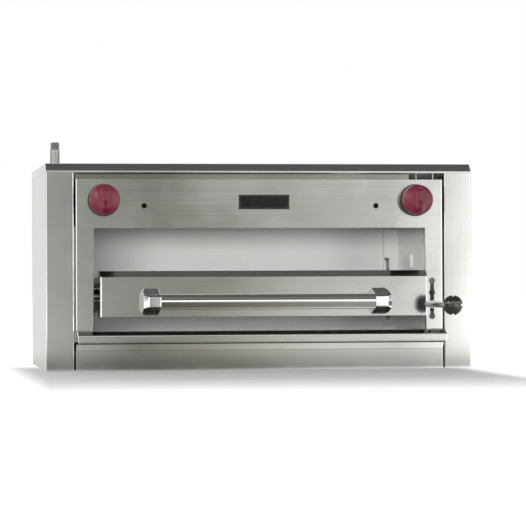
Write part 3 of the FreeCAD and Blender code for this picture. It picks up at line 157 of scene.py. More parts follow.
class Shape:
    """A mesh in the making, shaped by bmesh operators."""

    def __init__(self) -> None:
        """Starts an empty mesh."""
        self.bm = bmesh.new()

    def box(self, low: Sequence[float], high: Sequence[float]) -> "Shape":
        """Adds a block between two corners.

        Args:
            low: Lowest corner.
            high: Highest corner.

        Returns:
            The shape itself.
        """
        size = Vector(high) - Vector(low)
        verts = bmesh.ops.create_cube(self.bm, size=1)["verts"]
        bmesh.ops.scale(self.bm, vec=size, verts=verts)
        bmesh.ops.translate(self.bm, vec=Vector(low) + size / 2, verts=verts)
        return self

    def prism(self, axis: Axis, outline: Sequence[Point], span: Point) -> "Shape":
        """Adds a closed outline extruded along an axis.

        Args:
            axis: Direction of the extrusion.
            outline: Corners of the outline.
            span: First and last place on the axis.

        Returns:
            The shape itself.
        """
        verts = [self.bm.verts.new(axis.point(*point, span[0])) for point in outline]
        self._extrude([self.bm.faces.new(verts)], axis, span)
        bmesh.ops.recalc_face_normals(self.bm, faces=self.bm.faces)
        return self

    def strip(self, axis: Axis, line: Sequence[Point], span: Point, inside: Sequence[float]) -> "Shape":
        """Adds an open line extruded along an axis, as a sheet that faces away from a point.

        Args:
            axis: Direction of the extrusion.
            line: Points of the line.
            span: First and last place on the axis.
            inside: A point behind the sheet.

        Returns:
            The shape itself.
        """
        verts = [self.bm.verts.new(axis.point(*point, span[0])) for point in line]
        edges = [self.bm.edges.new(pair) for pair in zip(verts, verts[1:])]
        made = bmesh.ops.extrude_edge_only(self.bm, edges=edges)
        moved = [item for item in made["geom"] if isinstance(item, bmesh.types.BMVert)]
        bmesh.ops.translate(self.bm, vec=axis.vector * (span[1] - span[0]), verts=moved)
        bmesh.ops.recalc_face_normals(self.bm, faces=self.bm.faces)
        outward = sum(
            face.normal.dot(face.calc_center_median() - Vector(inside)) * face.calc_area()
            for face in self.bm.faces
        )
        if outward < 0:
            bmesh.ops.reverse_faces(self.bm, faces=self.bm.faces)
        return self

    def _extrude(self, faces: list, axis: Axis, span: Point) -> None:
        """Extrudes faces from the start of a span to its end.

        Args:
            faces: Faces at the start of the span.
            axis: Direction of the extrusion.
            span: First and last place on the axis.
        """
        made = bmesh.ops.extrude_face_region(self.bm, geom=faces)
        moved = [item for item in made["geom"] if isinstance(item, bmesh.types.BMVert)]
        bmesh.ops.translate(self.bm, vec=axis.vector * (span[1] - span[0]), verts=moved)

    def turned(self, axis: Axis, profile: Sequence[Point], centre: Point, steps: int = 64,
               closed: bool = False) -> "Shape":
        """Adds a profile turned full round an axis.

        Args:
            axis: Direction of the turning axis.
            profile: Pairs of radius and place on the axis.
            centre: Where the axis passes, in the other two directions.
            steps: Number of steps in the turn.
            closed: Whether the last point joins the first, as in a ring.

        Returns:
            The shape itself.
        """
        verts = [
            self.bm.verts.new(axis.point(centre[0] + radius, centre[1], at)) for radius, at in profile
        ]
        pairs = list(zip(verts, verts[1:]))
        if closed:
            pairs.append((verts[-1], verts[0]))
        edges = [self.bm.edges.new(pair) for pair in pairs]
        bmesh.ops.spin(self.bm, geom=verts + edges, cent=axis.point(*centre, 0), axis=axis.vector,
                       dvec=(0, 0, 0), angle=math.tau, steps=steps, use_merge=True,
                       use_duplicate=False)
        bmesh.ops.remove_doubles(self.bm, verts=self.bm.verts, dist=MERGED)
        bmesh.ops.recalc_face_normals(self.bm, faces=self.bm.faces)
        return self

    def rod(self, axis: Axis, radius: float, span: Point, centre: Point, steps: int = 48) -> "Shape":
        """Adds a plain round bar, such as a cutter for a hole."""
        return self.turned(axis, [(0, span[0]), (radius, span[0]), (radius, span[1]), (0, span[1])],
                           centre, steps)

    def round_edges(self, keep: EdgeTest, radius: float, segments: int = 4) -> "Shape":
        """Rounds the edges whose two ends pass a test.

        Args:
            keep: Test on the places of both ends.
            radius: Width of the rounding.
            segments: Number of facets across it.

        Returns:
            The shape itself.
        """
        edges = [edge for edge in self.bm.edges if keep(edge.verts[0].co, edge.verts[1].co)]
        bmesh.ops.bevel(self.bm, geom=edges, offset=radius, offset_type="OFFSET", segments=segments,
                        profile=0.5, affect="EDGES", clamp_overlap=True, material=-1)
        return self

    def sliced(self, point: Sequence[float], normal: Sequence[float]) -> "Shape":
        """Cuts off what lies beyond a plane and closes the cut.

        Args:
            point: A point of the plane.
            normal: Direction of the side that goes.

        Returns:
            The shape itself.
        """
        geometry = self.bm.verts[:] + self.bm.edges[:] + self.bm.faces[:]
        made = bmesh.ops.bisect_plane(self.bm, geom=geometry, plane_co=point, plane_no=normal,
                                      clear_outer=True)
        rim = [item for item in made["geom_cut"] if isinstance(item, bmesh.types.BMEdge)]
        bmesh.ops.edgeloop_fill(self.bm, edges=rim)
        bmesh.ops.recalc_face_normals(self.bm, faces=self.bm.faces)
        return self

    def open_sides(self, *directions: Sequence[float]) -> "Shape":
        """Deletes flat faces.

        Args:
            directions: Directions that the faces point in.

        Returns:
            The shape itself.
        """
        wanted = [Vector(direction) for direction in directions]
        faces = [
            face for face in self.bm.faces
            if any((face.normal - direction).length < SAME_DIRECTION for direction in wanted)
        ]
        bmesh.ops.delete(self.bm, geom=faces, context="FACES")
        return self

    def moved(self, rule: Callable[[Vector], Vector]) -> "Shape":
        """Moves every vertex.

        Args:
            rule: Gives the new place for an old one.

        Returns:
            The shape itself.
        """
        for vert in self.bm.verts:
            vert.co = rule(vert.co)
        return self

    def joined(self, other: "Shape") -> "Shape":
        """Adds a copy of another shape.

        Args:
            other: The shape to copy.

        Returns:
            The shape itself.
        """
        mesh = bpy.data.meshes.new("joined")
        other.bm.to_mesh(mesh)
        self.bm.from_mesh(mesh)
        bpy.data.meshes.remove(mesh)
        return self

    def mirrored(self) -> "Shape":
        """Makes the mirror image of the shape, across the middle plane of the cabinet.

        Returns:
            The new shape.
        """
        twin = Shape().joined(self)
        bmesh.ops.scale(twin.bm, vec=(-1, 1, 1), verts=twin.bm.verts)
        bmesh.ops.reverse_faces(twin.bm, faces=twin.bm.faces)
        return twin

    def item(self, name: str) -> bpy.types.Object:
        """Makes a scene object of the shape, at the origin.

        Args:
            name: Name of the object.

        Returns:
            The object.
        """
        self.bm.normal_update()
        mesh = bpy.data.meshes.new(name)
        self.bm.to_mesh(mesh)
        made = bpy.data.objects.new(name, mesh)
        bpy.context.scene.collection.objects.link(made)
        return made


class Value:
    """A number that varies over a surface. An expression on values adds its Math nodes."""

    def __init__(self, graph: "Graph", socket: bpy.types.NodeSocket) -> None:
        """Wraps the output of a node."""
        self.graph = graph
        self.socket = socket

    def _maths(self, operation: str, first: object, second: object) -> "Value":
        """Adds one Math node."""
        made = self.graph.node("ShaderNodeMath", {"operation": operation}, {0: first, 1: second})
        return Value(self.graph, made.outputs[0])

    def __add__(self, other: "Value | float") -> "Value":
        """Sum."""
        return self._maths("ADD", self, other)

    __radd__ = __add__

    def __sub__(self, other: "Value | float") -> "Value":
        """Difference."""
        return self._maths("SUBTRACT", self, other)

    def __rsub__(self, other: "Value | float") -> "Value":
        """Difference from a number."""
        return self._maths("SUBTRACT", other, self)

    def __mul__(self, other: "Value | float") -> "Value":
        """Product."""
        return self._maths("MULTIPLY", self, other)

    __rmul__ = __mul__

    def __truediv__(self, other: "Value | float") -> "Value":
        """Quotient."""
        return self._maths("DIVIDE", self, other)

    def __rtruediv__(self, other: "Value | float") -> "Value":
        """Quotient of a number and the value."""
        return self._maths("DIVIDE", other, self)

    def __pow__(self, other: "Value | float") -> "Value":
        """Power."""
        return self._maths("POWER", self, other)

    def __rpow__(self, other: "Value | float") -> "Value":
        """Power of a number."""
        return self._maths("POWER", other, self)

    def blended(self, other: "Value", share: float) -> "Value":
        """Blend with another value, which has the given share."""
        return self * (1 - share) + other * share

    def swing(self, width: float) -> "Value":
        """Turns a pattern round 0.5 into a swing round 0, as wide as given."""
        return (self - 0.5) * width

    def sine(self) -> "Value":
        """Sine of the value, in radians."""
        return self._maths("SINE", self, 0.0)

    def arcsine(self) -> "Value":
        """Angle whose sine is the value, in radians."""
        return self._maths("ARCSINE", self, 0.0)

    def size(self) -> "Value":
        """The value without its sign."""
        return self._maths("ABSOLUTE", self, 0.0)

    def turn_from(self, ahead: "Value") -> "Value":
        """Angle to the side of the way ahead, as a share of a turn in which 0.5 is straight ahead."""
        return self._maths("ARCTAN2", self, ahead) / math.tau + 0.5

    def least(self, other: "Value | float") -> "Value":
        """Smaller of two values."""
        return self._maths("MINIMUM", self, other)

    def most(self, other: "Value | float") -> "Value":
        """Larger of two values."""
        return self._maths("MAXIMUM", self, other)

    def between(self, low: float, high: float, soft: bool = True) -> "Value":
        """Goes from 0 at one level to 1 at another.

        Args:
            low: Level that gives 0.
            high: Level that gives 1.
            soft: Whether the change starts and ends gently.

        Returns:
            The new value.
        """
        kind = "SMOOTHSTEP" if soft else "LINEAR"
        made = self.graph.node("ShaderNodeMapRange", {"interpolation_type": kind},
                               {"Value": self, "From Min": low, "From Max": high})
        return Value(self.graph, made.outputs["Result"])


class Graph:
    """The nodes of one material or of the world."""

    def __init__(self, tree: bpy.types.NodeTree) -> None:
        """Starts with an empty tree."""
        self.tree = tree
        tree.nodes.clear()

    def node(self, kind: str, settings: dict | None = None, sockets: dict | None = None) -> bpy.types.Node:
        """Adds a node.

        Args:
            kind: Type of the node.
            settings: Its properties, set first. The key stops holds a ramp's places and colours.
            sockets: Numbers, colours, values or sockets for its inputs, by name, identifier or index.

        Returns:
            The node.
        """
        made = self.tree.nodes.new(kind)
        for name, setting in (settings or {}).items():
            if name == "stops":
                self._set_stops(made.color_ramp, setting)
            else:
                setattr(made, name, setting)
        for key, source in (sockets or {}).items():
            self._feed(self._input(made, key), source)
        return made

    def _input(self, node: bpy.types.Node, key: str | int) -> bpy.types.NodeSocket:
        """Finds an input.

        Args:
            node: The node that has it.
            key: Its identifier, name or index.

        Returns:
            The socket.
        """
        for socket in node.inputs:
            if socket.identifier == key:
                return socket
        return node.inputs[key]

    def _feed(self, socket: bpy.types.NodeSocket, source: object) -> None:
        """Links a source to an input, or writes its number there.

        Args:
            socket: The input.
            source: A value, a socket, a number, a colour or a vector.
        """
        if isinstance(source, Value):
            self.tree.links.new(source.socket, socket)
        elif isinstance(source, bpy.types.NodeSocket):
            self.tree.links.new(source, socket)
        else:
            socket.default_value = source

    def _set_stops(self, ramp: bpy.types.ColorRamp, stops: Sequence[tuple[float, Colour]]) -> None:
        """Writes the stops of a colour ramp.

        Args:
            ramp: The ramp.
            stops: Places from 0 to 1, each with its colour.
        """
        while len(ramp.elements) < len(stops):
            ramp.elements.new(1.0)
        for element, (place, colour) in zip(ramp.elements, stops):
            element.position = place
            element.color = colour

    def mix(self, factor: object, first: object, second: object) -> bpy.types.NodeSocket:
        """Colour between two colours."""
        return self.node("ShaderNodeMix", {"data_type": "RGBA"},
                         {"Factor_Float": factor, "A_Color": first, "B_Color": second}).outputs[2]

    def place(self, stretch: Sequence[float] = (1, 1, 1)) -> bpy.types.NodeSocket:
        """Object coordinates, multiplied by a stretch."""
        source = self.node("ShaderNodeTexCoord").outputs["Object"]
        return self.node("ShaderNodeMapping", {}, {"Vector": source, "Scale": stretch}).outputs["Vector"]

    def axes(self) -> tuple[Value, Value, Value]:
        """Object coordinates as three values."""
        split = self.node("ShaderNodeSeparateXYZ", {}, {"Vector": self.place()})
        return tuple(Value(self, split.outputs[index]) for index in range(3))

    def noise(self, scale: float, stretch: Sequence[float] = (1, 1, 1), detail: float = 2.0,
              roughness: float = 0.5) -> Value:
        """Noise pattern on object coordinates.

        Args:
            scale: Features to a metre.
            stretch: Extra scale on each axis.
            detail: Number of finer layers.
            roughness: Strength of the finer layers.

        Returns:
            A value round 0.5.
        """
        made = self.node("ShaderNodeTexNoise", {}, {
            "Vector": self.place(stretch), "Scale": scale, "Detail": detail, "Roughness": roughness})
        return Value(self, made.outputs[0])

    def bump(self, height: Value, depth: float, strength: float = 1.0) -> bpy.types.NodeSocket:
        """Normal bent by a height pattern of the given depth in metres."""
        return self.node("ShaderNodeBump", {}, {
            "Height": height, "Distance": depth, "Strength": strength}).outputs["Normal"]

    def surface(self, sockets: dict) -> None:
        """Closes a material with the main shader."""
        shader = self.node("ShaderNodeBsdfPrincipled", {}, sockets)
        self.node("ShaderNodeOutputMaterial", {}, {"Surface": shader.outputs["BSDF"]})


class Grain(Enum):
    """Direction of the brushing, as the stretch of its pattern on each axis."""

    ACROSS = (0.01, 1.0, 1.0)
    DEEP = (1.0, 0.01, 1.0)
    UPRIGHT = (1.0, 1.0, 0.01)


class Finish:
    """A finish that can be put on a piece."""

    name: str

    def nodes(self, graph: Graph) -> None:
        """Adds the nodes of the finish."""
        raise NotImplementedError

    def material(self) -> bpy.types.Material:
        """Makes the material, or finds it if it is already made.

        Returns:
            The material.
        """
        found = bpy.data.materials.get(self.name)
        if found is None:
            found = bpy.data.materials.new(self.name)
            found.use_nodes = True
            self.nodes(Graph(found.node_tree))
        return found


@dataclass(frozen=True)
class BrushedSteel(Finish):
    """Stainless sheet with a fine brushed grain, faint smears and rolling marks."""

    name: str
    grain: Grain
    bright: Colour = srgb(211, 211, 208)
    dark: Colour = srgb(198, 199, 195)
    roughness: float = 0.12
    streaks: float = 0.045
    depth: float = 0.000006
    fine_scale: float = 900.0
    coarse_scale: float = 170.0
    coarse_share: float = 0.45
    smear_scale: float = 5.0
    smear_span: Point = (0.35, 0.7)
    smear_share: float = 0.4
    smear_gloss: float = 0.05

    def nodes(self, graph: Graph) -> None:
        """Adds brushed streaks in two sizes and a cloudy smear.

        Args:
            graph: Nodes of the material.
        """
        fine = graph.noise(self.fine_scale, self.grain.value, detail=3, roughness=0.6)
        coarse = graph.noise(self.coarse_scale, self.grain.value, detail=2)
        smear = graph.noise(self.smear_scale, detail=4, roughness=0.55).between(*self.smear_span)
        streak = fine.blended(coarse, self.coarse_share)
        graph.surface({
            "Base Color": graph.mix(streak.blended(smear, self.smear_share), self.dark, self.bright),
            "Metallic": 1.0,
            "Roughness": self.roughness + streak.swing(self.streaks * 2) + smear.swing(self.smear_gloss),
            "Normal": graph.bump(streak, self.depth),
        })


@dataclass(frozen=True)
class HeatedSteel(Finish):
    """Liner sheet of the chamber, dulled and slightly straw coloured by heat towards the burners."""

    name: str
    clean: Colour = srgb(232, 233, 230)
    dull: Colour = srgb(222, 223, 220)
    straw: Colour = srgb(204, 195, 174)
    hot: Point = (0.30, 0.37)
    tint: float = 0.7
    metallic: float = 0.3
    roughness: float = 0.24
    depth: float = 0.000003
    grain_scale: float = 260.0
    grain_stretch: Sequence[float] = (0.05, 1, 1)
    grain_gloss: float = 0.05
    stain_scale: float = 11.0
    stain_span: Point = (0.3, 0.7)
    stain_gloss: float = 0.1

    def nodes(self, graph: Graph) -> None:
        """Adds rolled grain, stains and the heat tint.

        Args:
            graph: Nodes of the material.
        """
        _, _, height = graph.axes()
        grain = graph.noise(self.grain_scale, self.grain_stretch, detail=3)
        stain = graph.noise(self.stain_scale, detail=5, roughness=0.6)
        heat = height.between(*self.hot) * stain.between(*self.stain_span)
        base = graph.mix(grain.blended(stain, 0.5), self.dull, self.clean)
        graph.surface({
            "Base Color": graph.mix(heat * self.tint, base, self.straw),
            "Metallic": self.metallic,
            "Roughness": self.roughness + stain.swing(self.stain_gloss) + grain.swing(self.grain_gloss),
            "Normal": graph.bump(grain + stain, self.depth),
        })


@dataclass(frozen=True)
class Chrome(Finish):
    """Bright plating with hairline scratches and faint polishing haze."""

    name: str
    tone: Colour = srgb(226, 227, 228)
    hazy: Colour = srgb(214, 215, 217)
    roughness: float = 0.05
    depth: float = 0.00001
    haze_scale: float = 40.0
    haze_gloss: float = 0.03
    scratch_scale: float = 700.0
    scratch_stretch: Sequence[float] = (0.04, 1, 0.4)
    scratch_span: Point = (0.62, 0.74)
    scratch_gloss: float = 0.08
    scratch_height: float = 0.2

    def nodes(self, graph: Graph) -> None:
        """Adds haze and scratches.

        Args:
            graph: Nodes of the material.
        """
        haze = graph.noise(self.haze_scale, detail=4, roughness=0.6)
        lines = graph.noise(self.scratch_scale, self.scratch_stretch, detail=2)
        scratch = lines.between(*self.scratch_span)
        graph.surface({
            "Base Color": graph.mix(haze, self.hazy, self.tone),
            "Metallic": 1.0,
            "Roughness": self.roughness + haze * self.haze_gloss + scratch * self.scratch_gloss,
            "Normal": graph.bump(haze + scratch * self.scratch_height, self.depth),
        })


@dataclass(frozen=True)
class Moulded(Finish):
    """Moulded plastic with a fine skin, a tone that clouds slightly and rubbed high spots."""

    name: str
    base: Colour
    light: Colour
    roughness: float = 0.34
    coat: float = 0.25
    skin: float = 0.00002
    skin_scale: float = 1600.0
    coat_roughness: float = 0.12
    cloud_scale: float = 45.0
    cloud_gloss: float = 0.1
    rub_scale: float = 160.0
    rub_span: Point = (0.55, 0.75)
    rub_share: float = 0.3
    rub_gloss: float = 0.05

    def nodes(self, graph: Graph) -> None:
        """Adds the cloudy tone and the skin.

        Args:
            graph: Nodes of the material.
        """
        cloud = graph.noise(self.cloud_scale, detail=4, roughness=0.55)
        grain = graph.noise(self.skin_scale, detail=3)
        rubbed = graph.noise(self.rub_scale, detail=3).between(*self.rub_span)
        graph.surface({
            "Base Color": graph.mix(cloud.blended(rubbed, self.rub_share), self.base, self.light),
            "Roughness": self.roughness + cloud.swing(self.cloud_gloss) + rubbed * self.rub_gloss,
            "Coat Weight": self.coat,
            "Coat Roughness": self.coat_roughness,
            "Normal": graph.bump(grain, self.skin),
        })


@dataclass(frozen=True)
class KnobPlastic(Finish):
    """Dark red moulded plastic, with painted shade in the pointer hollow: a darker, deeper red."""

    name: str
    pointer: Sequence[float]
    pointer_size: Sequence[float]
    base: Colour = srgb(89, 23, 40)
    light: Colour = srgb(99, 32, 49)
    # Colour of the painted shade inside the pointer hollow
    deep: Colour = srgb(84, 8, 28)
    roughness: float = 0.33
    coat: float = 0.05
    coat_roughness: float = 0.2
    specular: float = 0.32
    pointer_edge: Point = (0.55, 1.1)
    pointer_gloss: float = 0.08
    cloud_scale: float = 60.0
    cloud_gloss: float = 0.12
    skin: float = 0.000015
    skin_scale: float = 1500.0

    def nodes(self, graph: Graph) -> None:
        """Adds painted shade, a darker and deeper red, inside the hollow, by its place on the knob's face.

        Args:
            graph: Nodes of the material.
        """
        across, _, up = graph.axes()
        offset = ((across - self.pointer[0]) / self.pointer_size[0]) ** 2.0
        rise = ((up - self.pointer[1]) / self.pointer_size[1]) ** 2.0
        # Painted shade: the face turns a darker, deeper red inside the pointer hollow
        inside = 1.0 - (offset + rise).between(*self.pointer_edge)
        cloud = graph.noise(self.cloud_scale, detail=4, roughness=0.55)
        grain = graph.noise(self.skin_scale, detail=3)
        face = graph.mix(cloud, self.base, self.light)
        graph.surface({
            "Base Color": graph.mix(inside, face, self.deep),
            "Roughness": self.roughness + cloud.swing(self.cloud_gloss) - inside * self.pointer_gloss,
            "Coat Weight": self.coat,
            "Coat Roughness": self.coat_roughness,
            "Specular IOR Level": self.specular,
            "Normal": graph.bump(grain, self.skin),
        })


@dataclass(frozen=True)
class Enamelled(Finish):
    """Black enamel plate with a thin lighter line just inside its edge."""

    name: str
    low: Sequence[float]
    high: Sequence[float]
    line_inset: float = 0.0022
    line_width: float = 0.0004
    black: Colour = srgb(8, 7, 7)
    faded: Colour = srgb(24, 23, 22)
    line: Colour = srgb(74, 73, 70)
    roughness: float = 0.2
    specular: float = 0.25
    cloud_scale: float = 90.0
    cloud_gloss: float = 0.12
    depth: float = 0.00001

    def nodes(self, graph: Graph) -> None:
        """Adds the line by distance from the nearest edge of the plate.

        Args:
            graph: Nodes of the material.
        """
        across, _, up = graph.axes()
        sides = (across - self.low[0]).least(self.high[0] - across)
        edge = sides.least((up - self.low[2]).least(self.high[2] - up))
        outer = edge.between(self.line_inset - self.line_width, self.line_inset)
        inner = edge.between(self.line_inset + self.line_width, self.line_inset + 2 * self.line_width)
        cloud = graph.noise(self.cloud_scale, detail=4)
        black = graph.mix(cloud, self.black, self.faded)
        graph.surface({
            "Base Color": graph.mix(outer - inner, black, self.line),
            "Roughness": self.roughness + cloud.swing(self.cloud_gloss),
            "Specular IOR Level": self.specular,
            "Normal": graph.bump(cloud, self.depth),
        })


@dataclass(frozen=True)
class Galvanised(Finish):
    """Zinc coated steel with its crystal spangle."""

    name: str
    dark: Colour = srgb(148, 152, 154)
    light: Colour = srgb(196, 200, 201)
    scale: float = 110.0
    metallic: float = 0.9
    roughness: float = 0.42
    crystal_gloss: float = 0.18
    crystal_height: float = 0.3
    dust_scale: float = 30.0
    dust_share: float = 0.4
    dust_gloss: float = 0.15
    depth: float = 0.00004

    def nodes(self, graph: Graph) -> None:
        """Adds crystals in two tones, each with its own gloss.

        Args:
            graph: Nodes of the material.
        """
        crystal = graph.node("ShaderNodeTexVoronoi", {}, {"Vector": graph.place(), "Scale": self.scale})
        split = graph.node("ShaderNodeSeparateColor", {}, {"Color": crystal.outputs["Color"]})
        tone = Value(graph, split.outputs[0])
        dust = graph.noise(self.dust_scale, detail=4)
        graph.surface({
            "Base Color": graph.mix(tone.blended(dust, self.dust_share), self.dark, self.light),
            "Metallic": self.metallic,
            "Roughness": self.roughness + tone.swing(self.crystal_gloss) + dust.swing(self.dust_gloss),
            "Normal": graph.bump(tone * self.crystal_height + dust, self.depth),
        })


@dataclass(frozen=True)
class RoughMetal(Finish):
    """Cast, forged or plated metal, from its two tones, its gloss and its skin."""

    name: str
    dark: Colour
    light: Colour
    metallic: float
    roughness: float
    grain_scale: float = 500.0
    grain_depth: float = 0.0001
    patch: float = 0.15
    patch_scale: float = 25.0
    patch_span: Point = (0.3, 0.7)
    patch_share: float = 0.6

    def nodes(self, graph: Graph) -> None:
        """Adds a granular skin and patches.

        Args:
            graph: Nodes of the material.
        """
        grain = graph.noise(self.grain_scale, detail=4, roughness=0.6)
        patches = graph.noise(self.patch_scale, detail=5, roughness=0.6)
        tone = grain.blended(patches.between(*self.patch_span), self.patch_share)
        graph.surface({
            "Base Color": graph.mix(tone, self.dark, self.light),
            "Metallic": self.metallic,
            "Roughness": self.roughness + patches.swing(self.patch) + grain.swing(self.patch),
            "Normal": graph.bump(grain, self.grain_depth),
        })


@dataclass(frozen=True)
class BurnerCeramic(Finish):
    """Pale ceramic tile with fine burner ports all over, painted as dark dots of shade, and toasted in
    places.
    """

    name: str
    port_pitch: float = 0.0026
    pale: Colour = srgb(226, 214, 190)
    toasted: Colour = srgb(196, 168, 132)
    # Colour of the painted shade in each port hole
    port_shade: Colour = srgb(70, 54, 42)
    port_edge: Point = (0.25, 0.6)
    port_depth: float = 0.0005
    toast_scale: float = 14.0
    toast_span: Point = (0.4, 0.7)
    roughness: float = 0.86
    port_gloss: float = 0.1

    def nodes(self, graph: Graph) -> None:
        """Adds the grid of ports: dots of painted shade, sunk a little by a bump.

        Args:
            graph: Nodes of the material.
        """
        across, deep, _ = graph.axes()
        turns = math.tau / self.port_pitch
        grid = (across * turns).sine() * (deep * turns).sine()
        # Painted shade: each port is a dark dot where the hole would be in shade
        ports = grid.between(*self.port_edge)
        toast = graph.noise(self.toast_scale, detail=4).between(*self.toast_span)
        body = graph.mix(toast, self.pale, self.toasted)
        graph.surface({
            "Base Color": graph.mix(ports, body, self.port_shade),
            "Roughness": self.roughness + ports * self.port_gloss,
            "Normal": graph.bump(1.0 - ports, self.port_depth),
        })


@dataclass(frozen=True)
class FibreBoard(Finish):
    """Pale matted insulation fibre."""

    name: str
    dark: Colour = srgb(176, 170, 156)
    light: Colour = srgb(224, 219, 206)
    scale: float = 500.0
    thinness: float = 0.15
    roughness: float = 0.95
    gloss: float = 0.1
    depth: float = 0.0008

    def nodes(self, graph: Graph) -> None:
        """Adds matted fibres in two directions.

        Args:
            graph: Nodes of the material.
        """
        long = graph.noise(self.scale, (self.thinness, 1, 1), detail=4, roughness=0.7)
        cross = graph.noise(self.scale, (1, self.thinness, 1), detail=4, roughness=0.7)
        fibre = long.most(cross)
        graph.surface({
            "Base Color": graph.mix(fibre, self.dark, self.light),
            "Roughness": self.roughness - fibre * self.gloss,
            "Normal": graph.bump(fibre, self.depth),
        })


STEEL_FRONT = BrushedSteel("steel_brushed_across", Grain.ACROSS)
STEEL_UPRIGHT = BrushedSteel("steel_brushed_upright", Grain.UPRIGHT)
STEEL_DEEP = BrushedSteel("steel_brushed_deep", Grain.DEEP, roughness=0.22)
STEEL_POLISHED = BrushedSteel("steel_polished_front", Grain.ACROSS, roughness=0.09, streaks=0.03,
                              depth=0.000004)
STEEL_LINER = HeatedSteel("steel_liner")
# Painted shade: a darker copy of the brushed steel, for the baffle in the vent gap
SHADED_VENT_STEEL = BrushedSteel("steel_vent_shaded", Grain.ACROSS, srgb(150, 148, 139), srgb(132, 130, 121), 0.2)
CHROME = Chrome("chrome_plate")
CHROME_TUBE = BrushedSteel("chrome_tube", Grain.ACROSS, srgb(222, 221, 217), srgb(210, 208, 203),
                           roughness=0.13, streaks=0.06)
ROD_STEEL = RoughMetal("rack_rod_plating", srgb(168, 168, 166), srgb(206, 206, 204), 1.0, 0.24,
                       900, 0.00002, 0.08)
BLACK_PHENOLIC = Moulded("black_phenolic", srgb(20, 19, 14), srgb(32, 30, 22), 0.22, 0.5, 0.00001)
BEZEL_METAL = RoughMetal("bezel_metal", srgb(58, 63, 56), srgb(76, 81, 73), 0.6, 0.4, 900, 0.00002,
                         0.1)
ZINC_SHEET = Galvanised("zinc_spangle")
CAST_IRON = RoughMetal("cast_iron", srgb(44, 42, 41), srgb(78, 74, 70), 0.6, 0.72, 700, 0.0004)
BLACK_IRON = RoughMetal("black_pipe_iron", srgb(36, 35, 35), srgb(58, 56, 54), 0.7, 0.5, 400, 0.00015)
GREY_PIPE = RoughMetal("zinc_pipe", srgb(128, 128, 124), srgb(166, 166, 162), 0.85, 0.4, 500, 0.00006)
BRASS = RoughMetal("turned_brass", srgb(172, 132, 66), srgb(214, 176, 104), 1.0, 0.3, 900, 0.00003)
PLATED = RoughMetal("zinc_plated", srgb(160, 160, 154), srgb(206, 205, 198), 1.0, 0.3, 800, 0.00003)
CERAMIC = BurnerCeramic("burner_ceramic")
FIBRE = FibreBoard("insulation_fibre")


@dataclass
class Part:
    """Base of every sub-assembly: turns shapes into pieces that ride on a body."""

    body: str = "cabinet"
    sheet: float = 0.0015
    rim: float = 0.0003
    rim_angle: float = math.radians(50)
    sharp_angle: float = math.radians(38)
    fold_steps: int = 4
    corner_steps: int = 5

    def _settle(self, item: bpy.types.Object) -> None:
        """Writes the result of an object's modifiers into its mesh.

        Args:
            item: The object.
        """
        graph = bpy.context.evaluated_depsgraph_get()
        mesh = bpy.data.meshes.new_from_object(item.evaluated_get(graph))
        item.modifiers.clear()
        old, item.data = item.data, mesh
        bpy.data.meshes.remove(old)

    def piece(self, name: str, shape: Shape, finish: Finish, slot: str, replaces: Iterable[str] = (),
              sheet: float = 0.0, cutters: Sequence[Shape] = (), rim: float = 0.0,
              ends: Sequence[Vector] = ()) -> bpy.types.Object:
        """Finishes a shape as a piece of the scene.

        Args:
            name: Name of the piece.
            shape: Its shape.
            finish: Its finish.
            slot: Material slot of the record that it stands for; not used.
            replaces: Nodes that it takes the place of.
            sheet: Wall thickness to give an open sheet, inwards.
            cutters: Shapes that are cut out of it.
            rim: Rounding of the edges that are still sharp.
            ends: Ends of a piece that reaches from the cabinet to the body, such as a spring; only whether
                any are given is read, and then the piece keeps its place without a body.

        Returns:
            The piece.
        """
        item = shape.item(name)
        if sheet:
            wall = item.modifiers.new("wall", "SOLIDIFY")
            wall.thickness = sheet
            wall.offset = -1
            wall.use_even_offset = True
        tools = [cutter.item(f"{name}.cutter") for cutter in cutters]
        for tool in tools:
            hole = item.modifiers.new("hole", "BOOLEAN")
            hole.operation = "DIFFERENCE"
            hole.solver = "EXACT"
            hole.object = tool
        if rim:
            edge = item.modifiers.new("rim", "BEVEL")
            edge.width = rim
            edge.segments = 2
            edge.limit_method = "ANGLE"
            edge.angle_limit = self.rim_angle
        self._settle(item)
        for tool in tools:
            bpy.data.objects.remove(tool)
        item.data.shade_smooth()
        item.data.set_sharp_from_angle(angle=self.sharp_angle)
        weight = item.modifiers.new("flat", "WEIGHTED_NORMAL")
        weight.keep_sharp = True
        self._settle(item)
        item.data.name = name
        item.data.materials.clear()
        item.data.materials.append(finish.material())
        if ends:
            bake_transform(item)
        else:
            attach(item, self.body)
        if replaces:
            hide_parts(*replaces)
        LOG.info("%s: %d faces on %s", name, len(item.data.polygons), self.body)
        return item

    def dress(self, finish: Finish, *nodes: str) -> None:
        """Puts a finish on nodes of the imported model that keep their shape.

        Args:
            finish: The finish.
            nodes: Names of the nodes.
        """
        for name in nodes:
            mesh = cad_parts[name].data
            for index in range(len(mesh.materials)):
                mesh.materials[index] = finish.material()
            LOG.info("%s: dressed in %s", name, finish.name)


